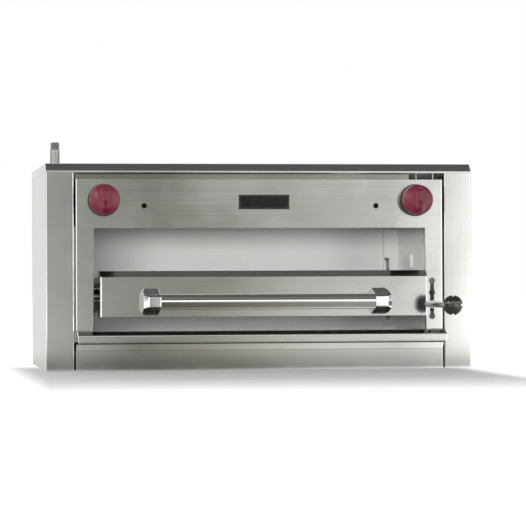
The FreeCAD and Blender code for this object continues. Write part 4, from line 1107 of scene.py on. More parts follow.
@dataclass
class CabinetShell(Part):
    """Side sheets with their columns, the lid, the back and the floor."""

    fold: float = 0.0026
    column_width: float = 0.0592
    column_return: float = 0.020
    lid_bevel: float = 0.0155
    lid_fold: float = 0.0016
    pipe_hole: float = 0.01297
    wall_bolt_radius: float = 0.00435
    wall_bolt_inset: float = 0.0508
    wall_bolt_heights: Point = (0.100, 0.350)

    def build(self) -> None:
        """Builds the shell."""
        self._sides()
        self._lid()
        self._back()
        self.dress(ZINC_SHEET, "bottom_panel")

    def _sides(self) -> None:
        """Folds each side sheet round the corner and in behind the column."""
        low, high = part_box("right_side_panel")
        edge = high.x - self.column_width
        line = [(high.x, high.y), (high.x, low.y), (edge, low.y), (edge, low.y + self.column_return)]
        inside = ((edge + high.x) / 2, 0, high.z / 2)
        shape = Shape().strip(Axis.Z, line, (low.z, high.z), inside)
        front = Axis.Y.plane(low.y)
        shape.round_edges(lambda a, b: front(a, b) and near(a.x, b.x), self.fold, self.corner_steps)
        left = shape.mirrored()
        for name, made in (("right", shape), ("left", left)):
            self.piece(f"{name}_side_sheet", made, STEEL_UPRIGHT, "stainless_steel",
                       [f"{name}_side_panel"], sheet=self.sheet, rim=self.rim)

    def _lid(self) -> None:
        """Folds the lid with its bevelled front, skirts and pipe hole."""
        low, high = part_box("top_panel")
        outline = bevelled_outline(low, high, self.lid_bevel, self.lid_bevel)
        shape = Shape().prism(Axis.X, outline, (low.x, high.x))
        bottom = Axis.Z.plane(low.z)
        shape.round_edges(lambda a, b: not bottom(a, b), self.lid_fold, self.fold_steps)
        shape.open_sides((0, 0, -1))
        pipe_low, pipe_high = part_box("gas_inlet_pipe")
        centre = (pipe_low + pipe_high) / 2
        hole = Shape().rod(Axis.Z, self.pipe_hole, (low.z, high.z + OVERRUN), (centre.x, centre.y))
        self.piece("lid_sheet", shape, STEEL_FRONT, "stainless_steel", ["top_panel"],
                   sheet=self.sheet, cutters=[hole], rim=self.rim)

    def _back(self) -> None:
        """Cuts the bolt holes of the back sheet."""
        low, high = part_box("back_panel")
        bolts = Shape()
        x = CAD_BOUNDS[1][0] - self.wall_bolt_inset
        through = (low.y - OVERRUN, high.y + OVERRUN)
        for side in (-1, 1):
            for z in self.wall_bolt_heights:
                bolts.rod(Axis.Y, self.wall_bolt_radius, through, (side * x, z))
        shape = Shape().box(low, high)
        self.piece("back_sheet", shape, ZINC_SHEET, "galvanised", ["back_panel"], cutters=[bolts],
                   rim=self.rim)


@dataclass
class ControlPanel(Part):
    """Folded panel round the mouth with its holes, and the blank nameplate."""

    fold: float = 0.003
    head_fold: float = 0.0012
    panel_return: float = 0.020
    stile: float = 0.0386
    header: float = 0.103
    pilot_radius: float = 0.00575
    pilot_x: float = 0.249
    pilot_drop: float = 0.056
    stem_radius: float = 0.006
    notch_radius: float = 0.00665
    notch_pitch: float = 0.0254
    notches_above: int = 2
    notches_below: int = 1
    slot_width: float = 0.0085
    overrun: float = 0.004
    plate_corner: float = 0.0012
    plate_edge: float = 0.0003

    def build(self) -> None:
        """Builds the panel and the plate."""
        self._panel()
        self._nameplate()

    def _outline(self, low: Vector, high: Vector) -> list[Point]:
        """Corners of the face, round the mouth.

        Args:
            low: Lowest corner of the panel.
            high: Highest corner of the panel.

        Returns:
            The corners.
        """
        inner = high.x - self.stile
        mouth_top = high.z - self.header
        return [(-high.x, low.z), (-inner, low.z), (-inner, mouth_top), (inner, mouth_top),
                (inner, low.z), (high.x, low.z), (high.x, high.z), (-high.x, high.z)]

    def _holes(self, low: Vector, high: Vector) -> list[Shape]:
        """Cutters for the stems, the pilot lighting holes and the selector's slot.

        Args:
            low: Lowest corner of the panel.
            high: Highest corner of the panel.

        Returns:
            The cutters, none of which crosses itself.
        """
        through = (low.y - self.overrun, low.y + self.overrun)
        round_holes, notches, slot = Shape(), Shape(), Shape()
        for side in ("left", "right"):
            a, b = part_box(f"{side}_knob")
            middle = (a + b) / 2
            round_holes.rod(Axis.Y, self.stem_radius, through, (middle.x, middle.z))
        for side in (-1, 1):
            round_holes.rod(Axis.Y, self.pilot_radius, through,
                            (side * self.pilot_x, high.z - self.pilot_drop))
        a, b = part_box("selector_knob")
        middle = (a + b) / 2
        heights = [middle.z + step * self.notch_pitch
                   for step in range(-self.notches_below, self.notches_above + 1)]
        for height in heights:
            notches.rod(Axis.Y, self.notch_radius, through, (middle.x, height))
        half = self.slot_width / 2
        slot.box((middle.x - half, through[0], heights[0]), (middle.x + half, through[1], heights[-1]))
        return [round_holes, notches, slot]

    def _panel(self) -> None:
        """Folds the panel and drills it."""
        low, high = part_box("control_panel")
        shape = Shape().prism(Axis.Y, self._outline(low, high), (low.y, low.y + self.panel_return))
        front = Axis.Y.plane(low.y)
        shape.round_edges(lambda a, b: front(a, b) and near(a.x, b.x), self.fold, self.corner_steps)
        shape.round_edges(lambda a, b: front(a, b) and near(a.z, b.z) and abs(a.x - b.x) > LONG_EDGE,
                          self.head_fold, self.fold_steps)
        shape.open_sides((0, 1, 0))
        self.piece("control_sheet", shape, STEEL_FRONT, "stainless_steel", ["control_panel"],
                   sheet=self.sheet, cutters=self._holes(low, high), rim=self.rim)

    def _nameplate(self) -> None:
        """Blank enamel plate with rounded corners."""
        low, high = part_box("nameplate")
        shape = Shape().box(low, high)
        shape.round_edges(lambda a, b: near(a.x, b.x) and near(a.z, b.z), self.plate_corner)
        shape.round_edges(Axis.Y.plane(low.y), self.plate_edge, 2)
        self.piece("blank_plate", shape, Enamelled("plate_enamel", tuple(low), tuple(high)),
                   "nameplate", ["nameplate"])


@dataclass
class LowerFront(Part):
    """Front panel below the tray, with its flared top edge."""

    flare_height: float = 0.013
    flare_reach: float = 0.010
    fold: float = 0.0014

    def build(self) -> None:
        """Folds the panel from one sheet."""
        low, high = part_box("lower_front_panel")
        face = low.y + self.flare_reach
        outline = [(face, low.z), (high.y, low.z), (high.y, high.z), (low.y, high.z),
                   (face, high.z - self.flare_height)]
        shape = Shape().prism(Axis.X, outline, (low.x, high.x))
        bottom, rear = Axis.Z.plane(low.z), Axis.Y.plane(high.y)
        shape.round_edges(lambda a, b: not bottom(a, b) and not rear(a, b), self.fold, self.fold_steps)
        shape.open_sides((0, 1, 0), (0, 0, -1))
        self.piece("lower_front_sheet", shape, STEEL_FRONT, "stainless_steel", ["lower_front_panel"],
                   sheet=self.sheet, rim=self.rim)


@dataclass
class Chamber(Part):
    """Chamber and vent gap: liners, guides, baffle, brackets, runners, insulation and screws."""

    screw_steps: int = 40
    head_radius: float = 0.0034
    head_rim: float = 0.0012
    head_curve: float = 0.0003
    head_shares: Point = (0.8, 0.35)
    recess: float = 0.0014
    recess_shares: Point = (0.55, 0.16)
    recess_overrun: float = 0.001

    def build(self) -> None:
        """Dresses the chamber and adds its screws."""
        self.dress(STEEL_LINER, "left_liner", "right_liner", "back_liner", "wall_brackets",
                   "left_guide_channel", "right_guide_channel")
        # The vent baffle gets the darker steel, painted shade of the vent gap
        self.dress(SHADED_VENT_STEEL, "vent_baffle")
        self.dress(ZINC_SHEET, "vent_brackets", "tray_runners", "burner_rails")
        self.dress(FIBRE, "side_insulation", "back_insulation")
        self._screws()

    def _screws(self) -> None:
        """Pan-head screws with a cross recess in the guide channels."""
        low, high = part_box("guide_screws")
        radius = self.head_radius
        x = high.x - radius
        profile = [(0, high.y), (radius, high.y), (radius, high.y - self.head_rim),
                   (radius * self.head_shares[0], low.y + self.head_curve),
                   (radius * self.head_shares[1], low.y), (0, low.y)]
        span = (low.y - self.recess_overrun, low.y + self.recess)
        long, short = (radius * share for share in self.recess_shares)
        heads, across, upright = Shape(), Shape(), Shape()
        for z in (low.z + radius, high.z - radius):
            for side in (-1, 1):
                heads.turned(Axis.Y, profile, (side * x, z), self.screw_steps)
                for slot, wide, tall in ((across, long, short), (upright, short, long)):
                    slot.box((side * x - wide, span[0], z - tall), (side * x + wide, span[1], z + tall))
        self.piece("guide_pan_screws", heads, PLATED, "plated_steel", ["guide_screws"],
                   cutters=[across, upright])


@dataclass
class GasTrain(Part):
    """Burners, pipes and valves, most of them hidden, and the threaded pipe above the lid."""

    thread_pitch: float = 0.001814
    thread_depth: float = 0.0009
    thread_length: float = 0.018
    thread_rings: int = 100
    thread_fade: float = 0.003
    thread_taper: float = 0.0006
    mouth_chamfer: float = 0.001
    mouth_slope: float = 0.5
    pipe_steps: int = 72
    bore: float = 0.0079

    def build(self) -> None:
        """Dresses the gas parts and threads the inlet pipe."""
        self.dress(CAST_IRON, "left_burner_body", "right_burner_body")
        self.dress(CERAMIC, "burner_tiles")
        self.dress(STEEL_LINER, "radiant_screens")
        self.dress(BLACK_IRON, "venturi_tubes", "supply_pipe", "gas_manifold", "pipe_elbows")
        self.dress(BRASS, "left_gas_valve", "right_gas_valve", "burner_orifices", "pilot_valves",
                   "pilot_tubes")
        self.dress(PLATED, "pilot_burners")
        self._inlet()

    def _inlet(self) -> None:
        """Pipe with a helical thread at its end, chamfered at its mouth."""
        low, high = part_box("gas_inlet_pipe")
        centre = (low + high) / 2
        radius = (high.x - low.x) / 2
        start = high.z - self.thread_length
        outside = [(radius, low.z), (radius, start)]
        outside += [(radius, start + self.thread_length * step / self.thread_rings)
                    for step in range(1, self.thread_rings + 1)]
        shape = Shape().turned(Axis.Z, outside + [(self.bore, high.z), (self.bore, low.z)],
                               (centre.x, centre.y), self.pipe_steps, closed=True)

        def cut_thread(place: Vector) -> Vector:
            """Lowers a point of the outside to the thread's flank.

            Args:
                place: The point.

            Returns:
                Its new place.
            """
            arm = Vector((place.x - centre.x, place.y - centre.y))
            if place.z <= start or arm.length < radius - SAME_PLACE:
                return place
            turn = math.atan2(arm.y, arm.x) / math.tau
            phase = ((place.z - start) / self.thread_pitch - turn) % 1
            flank = 1 - abs(2 * phase - 1)
            fade = min(1, (place.z - start) / self.thread_fade)
            taper = self.thread_taper * (place.z - start) / self.thread_length
            mouth = max(0, place.z - high.z + self.mouth_chamfer) * self.mouth_slope
            arm *= (radius - self.thread_depth * flank * fade - taper - mouth) / arm.length
            return Vector((centre.x + arm.x, centre.y + arm.y, place.z))

        shape.moved(cut_thread)
        self.piece("threaded_inlet", shape, GREY_PIPE, "galvanised", ["gas_inlet_pipe"])


@dataclass
class BurnerKnob(Part):
    """Domed knob with a tapered grip bar and a pointer hollow in its lower half."""

    side: str = "left"
    rings: int = 44
    steps: int = 112
    edge_round: float = 0.0025
    edge_steps: int = 4
    rear_chamfer: float = 0.001
    skirt: float = 0.020
    dome: float = 0.007
    bar_top: float = 0.0045
    bar_base: float = 0.0160
    bar_height: float = 0.007
    bar_ends: Point = (0.002, 0.015)
    hollow_width: float = 0.0062
    hollow_height: float = 0.0115
    hollow_drop: float = 0.0125
    hollow_depth: float = 0.0016
    hollow_slope: float = 0.5

    def build(self) -> None:
        """Turns the knob and raises its bar."""
        low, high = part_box(f"{self.side}_knob")
        centre = (low + high) / 2
        radius = (high.x - low.x) / 2
        rear = high.y
        rim_y = rear - self.skirt
        profile = [(0, rear), (radius - self.rear_chamfer, rear), (radius, rear - self.rear_chamfer)]
        corner = (radius - self.edge_round, rim_y + self.edge_round)
        for step in range(self.edge_steps + 1):
            angle = math.radians(90 * step / self.edge_steps)
            profile.append((corner[0] + self.edge_round * math.cos(angle),
                            corner[1] - self.edge_round * math.sin(angle)))
        flat = radius - self.edge_round
        sphere = (flat ** 2 + self.dome ** 2) / (2 * self.dome)
        for step in range(1, self.rings + 1):
            at = flat * (1 - step / self.rings)
            rise = math.sqrt(sphere ** 2 - at ** 2) - (sphere - self.dome)
            profile.append((at, rim_y - rise))
        shape = Shape().turned(Axis.Y, profile, (centre.x, centre.z), self.steps)
        shape.moved(lambda place: self._raised(place, centre, radius, rim_y))
        pointer = (centre.x, centre.z - self.hollow_drop)
        finish = KnobPlastic(f"{self.side}_knob_plastic", pointer, (self.hollow_width, self.hollow_height))
        self.piece(f"{self.side}_knob_cap", shape, finish, "knob_plastic", [f"{self.side}_knob"])
        self.dress(BRASS, f"{self.side}_valve_stem")

    def _raised(self, place: Vector, centre: Vector, radius: float, rim_y: float) -> Vector:
        """Raises a point of the face on to the bar, or sinks it into the hollow.

        Args:
            place: The point.
            centre: Middle of the knob.
            radius: Radius of the knob.
            rim_y: Place of the face's rim, from front to rear.

        Returns:
            Its new place.
        """
        across, up = place.x - centre.x, place.z - centre.z
        if place.y > rim_y + SAME_PLACE or math.hypot(across, up) > radius - self.edge_round:
            return place
        side = ramp(abs(across), self.bar_base, self.bar_top)
        end = ramp(math.hypot(across, up), radius - self.bar_ends[0], radius - self.bar_ends[1])
        target = rim_y - self.dome - self.bar_height
        lift = (place.y - target) * side * end
        hollow = 1 - math.hypot(across / self.hollow_width, (up + self.hollow_drop) / self.hollow_height)
        sink = self.hollow_depth * ramp(hollow, 0.0, self.hollow_slope)
        return Vector((place.x, place.y - lift + sink, place.z))


@dataclass
class KnobBezels(Part):
    """Dark satin rings behind the burner knobs."""

    hole: float = 0.006
    edge: float = 0.001
    edge_middle: float = 0.0003
    steps: int = 96

    def build(self) -> None:
        """Turns both rings."""
        low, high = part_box("knob_bezels")
        shape = Shape()
        for side in ("left", "right"):
            a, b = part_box(f"{side}_knob")
            middle = (a + b) / 2
            radius = (high.z - low.z) / 2
            profile = [(self.hole, high.y), (radius, high.y), (radius, low.y + self.edge),
                       (radius - self.edge_middle, low.y + self.edge_middle),
                       (radius - self.edge, low.y), (self.hole, low.y)]
            shape.turned(Axis.Y, profile, (middle.x, middle.z), self.steps, closed=True)
        self.piece("bezel_rings", shape, BEZEL_METAL, "bezel", ["knob_bezels"])


@dataclass
class DripTray(Part):
    """Folded tray front and the pan behind it."""

    body: str = "drip_tray"
    bevel_height: float = 0.008
    bevel_depth: float = 0.018
    fold: float = 0.0016
    pan_sheet: float = 0.0012
    pan_fold: float = 0.003

    def build(self) -> None:
        """Folds the front and presses the pan."""
        low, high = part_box("drip_tray_front")
        outline = bevelled_outline(low, high, self.bevel_depth, self.bevel_height)
        shape = Shape().prism(Axis.X, outline, (low.x, high.x))
        rear = Axis.Y.plane(high.y)
        shape.round_edges(lambda a, b: not rear(a, b), self.fold, self.fold_steps)
        shape.open_sides((0, 1, 0))
        self.piece("tray_front_sheet", shape, STEEL_FRONT, "stainless_steel", ["drip_tray_front"],
                   sheet=self.sheet, rim=self.rim)
        low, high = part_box("drip_tray_pan")
        pan = Shape().box(low, high)
        top = Axis.Z.plane(high.z)
        pan.round_edges(lambda a, b: not top(a, b), self.pan_fold, self.fold_steps)
        pan.open_sides((0, 0, 1))
        self.piece("tray_pan_sheet", pan, STEEL_LINER, "stainless_steel", ["drip_tray_pan"],
                   sheet=self.pan_sheet, rim=self.rim)


@dataclass
class Rack(Part):
    """Rack front with its frame and grid."""

    body: str = "rack"
    bevel_height: float = 0.013
    bevel_depth: float = 0.020
    fold: float = 0.0022
    side_fold: float = 0.0032
    side_fold_steps: int = 6

    def build(self) -> None:
        """Folds the front and dresses the frame."""
        low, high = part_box("rack_front")
        outline = bevelled_outline(low, high, self.bevel_depth, self.bevel_height)
        shape = Shape().prism(Axis.X, outline, (low.x, high.x))
        front, rear = Axis.Y.plane(low.y), Axis.Y.plane(high.y)
        shape.round_edges(lambda a, b: front(a, b) and near(a.x, b.x), self.side_fold, self.side_fold_steps)
        shape.round_edges(lambda a, b: near(a.z, b.z) and abs(a.x - b.x) > LONG_EDGE and not rear(a, b),
                          self.fold, self.corner_steps)
        shape.open_sides((0, 1, 0))
        self.piece("rack_front_sheet", shape, STEEL_POLISHED, "stainless_steel", ["rack_front"],
                   sheet=self.sheet, rim=self.rim)
        self.dress(STEEL_DEEP, "rack_frame")
        self.dress(ROD_STEEL, "rack_grid")
        self.dress(PLATED, "rack_rollers", "handle_screws")


@dataclass
class RackHandle(Part):
    """Handle tube in its two bevelled chrome blocks."""

    body: str = "rack"
    bevel: float = 0.017
    end_bevel: float = 0.010
    corner_bevel: float = 0.005
    cant: float = 0.023
    edge_round: float = 0.0018
    tube_wall: float = 0.0015
    tube_edge: float = 0.0004
    steps: int = 96
    seam: float = 0.0002

    def build(self) -> None:
        """Builds the tube and both blocks."""
        low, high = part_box("handle_tube")
        middle = (low + high) / 2
        radius = (high.z - low.z) / 2
        inner = radius - self.tube_wall
        edge = self.tube_edge
        profile = [(inner, low.x), (radius - edge, low.x), (radius, low.x + edge),
                   (radius, high.x - edge), (radius - edge, high.x), (inner, high.x)]
        tube = Shape().turned(Axis.X, profile, (middle.y, middle.z), self.steps, closed=True)
        self.piece("handle_bar", tube, CHROME_TUBE, "bright_steel", ["handle_tube"])
        block = self._block(middle.z)
        span = (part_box("right_handle_bracket")[0].x - OVERRUN, high.x)
        socket = Shape().rod(Axis.X, radius + self.seam, span, (middle.y, middle.z), self.steps)
        sides = (("right", block, socket), ("left", block.mirrored(), socket.mirrored()))
        for name, shape, cutter in sides:
            self.piece(f"{name}_handle_block", self._canted(shape), CHROME, "bright_steel",
                       [f"{name}_handle_bracket"], cutters=[cutter])

    def _block(self, tube_height: float) -> Shape:
        """Right-hand block with bevels above, below and at its outer end and corners.

        Args:
            tube_height: Height of the tube's middle.

        Returns:
            The block, without its socket.
        """
        low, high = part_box("right_handle_bracket")
        outline = [(high.y, low.z), (high.y, high.z), (low.y, high.z - self.bevel),
                   (low.y, low.z + self.bevel)]
        shape = Shape().prism(Axis.X, outline, (low.x, high.x))
        shape.sliced((high.x - self.end_bevel, low.y, tube_height), (1, -1, 0))
        for side, edge in ((1, high.z), (-1, low.z)):
            shape.sliced((high.x - self.corner_bevel, low.y, edge), (1, 0, side))
        rear = Axis.Y.plane(high.y)
        shape.round_edges(lambda a, b: not rear(a, b), self.edge_round, self.fold_steps)
        return shape

    def _canted(self, shape: Shape) -> Shape:
        """Turns the front of a block a little towards the right, as it hangs in its screws.

        Args:
            shape: The block.

        Returns:
            The same block.
        """
        low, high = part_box("right_handle_bracket")
        middle = sum(vert.co.x for vert in shape.bm.verts) / len(shape.bm.verts)

        def turned(place: Vector) -> Vector:
            """Moves a point back by its place along the front.

            Args:
                place: The point.

            Returns:
                Its new place.
            """
            share = ramp(place.y, high.y, low.y + self.bevel)
            return Vector((place.x, place.y + (place.x - middle) * self.cant * share, place.z))

        return shape.moved(turned)


@dataclass
class Carriage(Part):
    """Lifting rails with their rollers and springs."""

    body: str = "carriage"
    wire: float = 0.0011
    pitch: float = 0.005
    wire_steps: int = 10
    turn_steps: int = 20

    def build(self) -> None:
        """Dresses the carriage and winds its springs."""
        self.dress(STEEL_DEEP, "left_carriage_rail", "right_carriage_rail", "carriage_cross_bar")
        self.dress(PLATED, "carriage_rollers", "selector_bracket")
        self._springs()

    def _springs(self) -> None:
        """Winds the spring of each rear guide, which shortens as the carriage rises."""
        low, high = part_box("counter_springs")
        outer = (high.y - low.y) / 2
        centre = (high.x - outer, (low.y + high.y) / 2)
        length = high.z - low.z - 2 * self.wire
        turns = int(length / self.pitch)
        steps = turns * self.turn_steps
        coil = Shape()
        ring = bmesh.ops.create_circle(coil.bm, segments=self.wire_steps, radius=self.wire, cap_ends=False)
        start = Matrix.Translation((centre[0] + outer - self.wire, centre[1], low.z + self.wire))
        start = start @ Matrix.Rotation(math.pi / 2, 4, "X")
        bmesh.ops.transform(coil.bm, matrix=start, verts=ring["verts"])
        bmesh.ops.spin(coil.bm, geom=coil.bm.verts[:] + coil.bm.edges[:], cent=(*centre, 0),
                       axis=(0, 0, 1), dvec=(0, 0, length / steps), angle=math.tau * turns,
                       steps=steps, use_merge=False, use_duplicate=False)
        bmesh.ops.holes_fill(coil.bm, edges=coil.bm.edges, sides=self.wire_steps)
        bmesh.ops.recalc_face_normals(coil.bm, faces=coil.bm.faces)
        ends = (Vector((0, centre[1], high.z - self.wire)), Vector((0, centre[1], low.z + self.wire)))
        self.piece("counter_coils", coil.joined(coil.mirrored()), PLATED, "plated_steel",
                   ["counter_springs"], ends=ends)


@dataclass
class Selector(Part):
    """Spring-loaded rod with its collar and notched black knob."""

    body: str = "selector"
    notches: int = 4
    notch_depth: float = 0.0042
    notch_share: float = 0.22
    notch_floor_share: float = 0.35
    notch_full_share: float = 0.9
    knob_steps: int = 160
    arc_steps: int = 9
    neck_share: float = 0.55
    neck_step: float = 0.001
    neck_depth: float = 0.003
    belly_forward: float = 0.001
    face_power: float = 0.9
    rear_margin: float = 0.002
    rod_radius: float = 0.00635
    rod_seam: float = 0.0002
    rod_reach: float = 0.012

    def build(self) -> None:
        """Dresses the rod and builds the knob."""
        self.dress(PLATED, "selector_spring")
        self.dress(ROD_STEEL, "selector_rod")
        self._knob()

    def _knob(self) -> None:
        """Turns the knob and presses the notches into its side."""
        low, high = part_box("selector_knob")
        centre = (low + high) / 2
        radius = (high.x - low.x) / 2
        bore = self.rod_radius + self.rod_seam
        neck = radius * self.neck_share
        throat = neck + self.neck_step
        belly = (low.y + high.y) / 2 - self.belly_forward
        half = high.y - self.neck_depth - belly
        reach = belly - low.y
        profile = [(0, low.y + self.rod_reach), (bore, low.y + self.rod_reach), (bore, high.y),
                   (neck, high.y), (throat, high.y - self.neck_depth)]
        for step in range(1, self.arc_steps + 1):
            angle = math.radians(90 * step / self.arc_steps)
            profile.append((throat + (radius - throat) * math.sin(angle), belly + half * math.cos(angle)))
        for step in range(1, 2 * self.arc_steps):
            angle = math.radians(90 * step / (2 * self.arc_steps))
            profile.append((radius * math.cos(angle) ** self.face_power, belly - reach * math.sin(angle)))
        profile.append((0, low.y))
        shape = Shape().turned(Axis.Y, profile, (centre.x, centre.z), self.knob_steps)

        def fluted(place: Vector) -> Vector:
            """Draws a point of the side in where it lies in a notch.

            Args:
                place: The point.

            Returns:
                Its new place.
            """
            arm = Vector((place.x - centre.x, place.z - centre.z))
            floor = radius * self.notch_floor_share
            if arm.length < floor or place.y > high.y - self.rear_margin:
                return place
            turn = math.atan2(arm.y, arm.x) / math.tau * self.notches
            aside = abs(2 * ((turn + 0.5) % 1) - 1)
            hollow = ramp(aside, self.notch_share, 0.0)
            depth = self.notch_depth * hollow * ramp(arm.length, floor, radius * self.notch_full_share)
            arm *= (arm.length - depth) / arm.length
            return Vector((centre.x + arm.x, place.y, centre.z + arm.y))

        shape.moved(fluted)
        self.piece("notched_selector_grip", shape, BLACK_PHENOLIC, "black_plastic", ["selector_knob"])


# Light of the studio by height: degrees above the horizon, each with its level
HEIGHT_LEVELS = (
    (-90, 0.7), (-3, 0.6), (6, 0.6), (9, 1.7), (14, 2.3), (21, 2.3), (27, 0.2), (42, 0.14), (56, 0.3),
    (74, 0.14), (90, 0.13),
)

# Light of the studio's walls: degrees from the front towards the right, each with its level or colour
WALL_LEVELS = (
    (-180, 0.84), (-96, 1.0), (-91, 0.25), (-77, 0.25), (-73, 1.6), (-60, 1.9), (-24, 1.7),
    (-18, 1.0), (-17, 4.0), (-15, 4.0), (-14, 0.75), (0, (0.58, 0.60, 0.58, 1)),
    (3.4, (0.50, 0.52, 0.50, 1)), (4.4, (0.43, 0.445, 0.42, 1)), (4.9, (0.26, 0.265, 0.245, 1)),
    (5.4, (0.20, 0.20, 0.18, 1)), (6.9, (0.33, 0.32, 0.285, 1)), (8.0, (0.38, 0.37, 0.335, 1)),
    (9.0, (0.70, 0.69, 0.65, 1)), (10.5, 0.69), (11.3, 0.66), (11.7, 1.85), (12.3, 1.25),
    (12.9, 1.2), (13.5, 2.3), (40, 2.0), (50, 3.5), (57, 3.5), (60, 0.7), (110, 0.5), (160, 0.6),
)


def ramp_place(degrees: float, full: float) -> float:
    """Place of an angle on a ramp that spans a full angle, with 0 degrees in its middle."""
    return degrees / full + 0.5


@dataclass(frozen=True)
class Lamp:
    """Soft rectangular lamp, unseen by the camera."""

    name: str
    place: Sequence[float]
    target: Sequence[float]
    width: float
    height: float
    power: float
    glints: bool = False

    def build(self) -> None:
        """Hangs the lamp and points it at its target."""
        light = bpy.data.lights.new(self.name, "AREA")
        light.shape = "RECTANGLE"
        light.size, light.size_y = self.width, self.height
        light.energy = self.power
        lamp = bpy.data.objects.new(self.name, light)
        turn = (Vector(self.target) - Vector(self.place)).to_track_quat("-Z", "Y")
        lamp.matrix_world = Matrix.Translation(self.place) @ turn.to_matrix().to_4x4()
        lamp.visible_glossy = self.glints
        lamp.visible_camera = False
        bpy.context.scene.collection.objects.link(lamp)


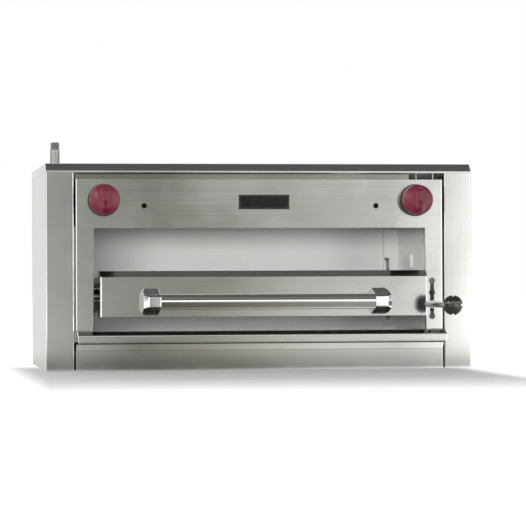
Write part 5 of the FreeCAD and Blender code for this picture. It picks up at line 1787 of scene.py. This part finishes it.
@dataclass
class Studio:
    """Pale floor, soft light and the camera at the photograph's viewing angle."""

    image_width: int = 526
    focal_pixels: float = 2676.6
    sensor: float = 36.0
    yaw: float = math.radians(8.285)
    pitch: float = math.radians(0.291)
    roll: float = math.radians(-0.226)
    place: Sequence[float] = (-0.8166, -5.88486, 0.19631)
    floor_size: float = 40.0
    floor_gap: float = 0.0003
    front: float = -0.24765
    paper: Colour = srgb(206, 203, 203)
    paper_roughness: float = 0.9
    # Painted shadow: for the camera the floor's glow drops to this level in a patch in front of the
    # cabinet, placed and faded by the spans below
    painted_shadow: Colour = grey(0.1)
    shade_middle: float = -0.04
    shade_half: float = 0.43
    shade_edge: float = 0.12
    shade_reach: Point = (0.4, 1.9)
    shade_start: Point = (-0.1, -0.5)
    # Painted reflection: for glossy rays the floor glows with the studio walls' light scaled by these
    # levels, dimmer in a band in front of the cabinet
    mirrored_level: float = 0.56
    mirrored_gain: float = 0.85
    mirrored_near: Point = (0.12, 0.03)
    mirrored_far: Point = (0.5, 1.5)
    backdrop: Colour = grey(0.84)
    backdrop_shade: Colour = grey(0.5)
    backdrop_from: Point = (0.0, 1.5)
    wall_top: Point = (3, 8)
    rear_wall: Point = (0.05, 0.5)
    rear_ceiling: Point = (0.75, 0.97)
    rear_corner: Point = (0.25, 0.7)
    lamps: Sequence[Lamp] = (
        Lamp("lamp_behind", (0.0, 2.6, 1.9), (0, 0, 0.15), 3.4, 1.6, 70.0),
        Lamp("lamp_front", (-1.2, -4.35, 0.43), (0, 0, 0.25), 1.5, 0.5, 158.0),
        Lamp("lamp_glint", (-1.82, -3.0, 1.62), (0.4, -0.3, 0.15), 0.4, 0.4, 14.0, glints=True),
    )

    def build(self) -> None:
        """Builds the studio."""
        bpy.context.scene.view_settings.view_transform = "Standard"
        self._camera()
        self._floor()
        self._world()
        for lamp in self.lamps:
            lamp.build()

    def _camera(self) -> None:
        """Camera with the photograph's place, direction and focal length."""
        forward = Vector((math.sin(self.yaw) * math.cos(self.pitch),
                          math.cos(self.yaw) * math.cos(self.pitch), math.sin(self.pitch)))
        level = Vector((math.cos(self.yaw), -math.sin(self.yaw), 0))
        above = level.cross(forward)
        right = level * math.cos(self.roll) + above * math.sin(self.roll)
        up = above * math.cos(self.roll) - level * math.sin(self.roll)
        lens = bpy.data.cameras.new("camera")
        lens.sensor_fit = "HORIZONTAL"
        lens.sensor_width = self.sensor
        lens.lens = self.sensor * self.focal_pixels / self.image_width
        lens.clip_end = 100
        camera = bpy.data.objects.new("camera", lens)
        turn = Matrix((right, up, -forward)).transposed()
        camera.matrix_world = Matrix.Translation(self.place) @ turn.to_4x4()
        bpy.context.scene.collection.objects.link(camera)
        bpy.context.scene.camera = camera

    def _floor(self) -> None:
        """White floor that goes on as the background and keeps the object's shadow. For the camera its glow
        is lowered in a painted shadow in front of the cabinet, and for glossy rays it glows with a painted
        reflection of the studio walls.
        """
        half = self.floor_size / 2
        shape = Shape()
        bmesh.ops.create_grid(shape.bm, x_segments=1, y_segments=1, size=half)
        bmesh.ops.translate(shape.bm, vec=(0, 0, CAD_BOUNDS[0][2] - self.floor_gap), verts=shape.bm.verts)
        floor = shape.item("floor")
        material = bpy.data.materials.new("floor_paper")
        material.use_nodes = True
        graph = Graph(material.node_tree)
        path = graph.node("ShaderNodeLightPath")
        seen = Value(graph, path.outputs["Is Camera Ray"])
        across, deep, _ = graph.axes()
        # Painted shadow: the floor's glow for the camera is lowered in a patch in front of the cabinet,
        # fading out beyond its sides and from 0.4 to 1.9 m ahead
        aside = (across - self.shade_middle).size() - self.shade_half
        ahead = self.front - deep
        beyond_painted_shadow = aside.between(0.0, self.shade_edge).most(ahead.between(*self.shade_reach))
        beyond_painted_shadow = beyond_painted_shadow.most(ahead.between(*self.shade_start))
        paper = graph.mix(beyond_painted_shadow, self.painted_shadow, grey(1.0))
        # Painted reflection: for glossy rays the floor has no lit colour and glows instead with the walls'
        # light seen in the mirrored direction, dimmer from about 0.03 to 1.5 m ahead as a painted shadow in
        # that reflection, and turning to the backdrop grey behind the cabinet
        mirrored = Value(graph, path.outputs["Is Glossy Ray"])
        from_camera = 2 * self.front - self.place[1] - deep
        walls = self._light(graph, WALL_LEVELS, 360, (across - self.place[0]).turn_from(from_camera))
        level = (self.mirrored_level + self.mirrored_gain * ahead.between(*self.mirrored_near)
                 + self.mirrored_gain * ahead.between(*self.mirrored_far))
        scaled = graph.node("ShaderNodeVectorMath", {"operation": "SCALE"}, {0: walls, "Scale": level})
        painted_reflection = graph.mix(deep.between(*self.backdrop_from), scaled.outputs["Vector"], self.backdrop)
        graph.surface({
            "Base Color": graph.mix(mirrored, self.paper, grey(0)),
            "Roughness": self.paper_roughness,
            "Specular IOR Level": 0.0,
            "Emission Color": graph.mix(mirrored, graph.mix(seen, grey(0), paper), painted_reflection),
            "Emission Strength": 1.0,
        })
        floor.data.materials.append(material)

    def _world(self) -> None:
        """Studio walls: white for the camera, and for the object light bands round a darker ceiling."""
        world = bpy.data.worlds.new("studio")
        bpy.context.scene.world = world
        world.use_nodes = True
        graph = Graph(world.node_tree)
        ray = graph.node("ShaderNodeTexCoord").outputs["Generated"]
        split = graph.node("ShaderNodeSeparateXYZ", {}, {"Vector": ray})
        x, y, z = (Value(graph, split.outputs[index]) for index in range(3))
        azimuth = x.turn_from(0.0 - y)
        elevation = z.arcsine() / math.pi + 0.5
        walls = self._light(graph, WALL_LEVELS, 360, azimuth)
        bands = self._light(graph, HEIGHT_LEVELS, 180, elevation)
        top = elevation.between(*(ramp_place(degrees, 180) for degrees in self.wall_top))
        behind = y.between(*self.rear_wall) * (1.0 - z.between(*self.rear_ceiling))
        rear = graph.mix(x.between(*self.rear_corner), self.backdrop, self.backdrop_shade)
        surround = graph.mix(behind, graph.mix(top, walls, bands), rear)
        path = graph.node("ShaderNodeLightPath")
        shown = graph.mix(Value(graph, path.outputs["Is Camera Ray"]), surround, grey(1.0))
        light = graph.node("ShaderNodeBackground", {}, {"Color": shown, "Strength": 1.0})
        graph.node("ShaderNodeOutputWorld", {}, {"Surface": light.outputs["Background"]})

    def _light(self, graph: Graph, levels: Sequence[tuple], full: float,
               at: Value) -> bpy.types.NodeSocket:
        """Light by direction.

        Args:
            graph: Nodes of the floor or of the world.
            levels: Angles in degrees, each with its level or colour.
            full: Angle in degrees that the whole range spans.
            at: Direction as a share of that range.

        Returns:
            The colour of the light.
        """
        stops = [(ramp_place(degrees, full), level if isinstance(level, tuple) else grey(level))
                 for degrees, level in levels]
        return graph.node("ShaderNodeValToRGB", {"stops": stops}, {"Fac": at}).outputs["Color"]


def main() -> None:
    """Builds the studio and every sub-assembly in order."""
    logging.basicConfig(level=logging.INFO, format="%(name)s: %(message)s")
    Studio().build()
    for part in (
        CabinetShell(), ControlPanel(), LowerFront(), Chamber(), GasTrain(), KnobBezels(),
        BurnerKnob(body="left_knob", side="left"), BurnerKnob(body="right_knob", side="right"),
        DripTray(), Rack(), RackHandle(), Carriage(), Selector(),
    ):
        LOG.info("building %s", type(part).__name__)
        part.build()


if __name__ == "__main__":
    main()
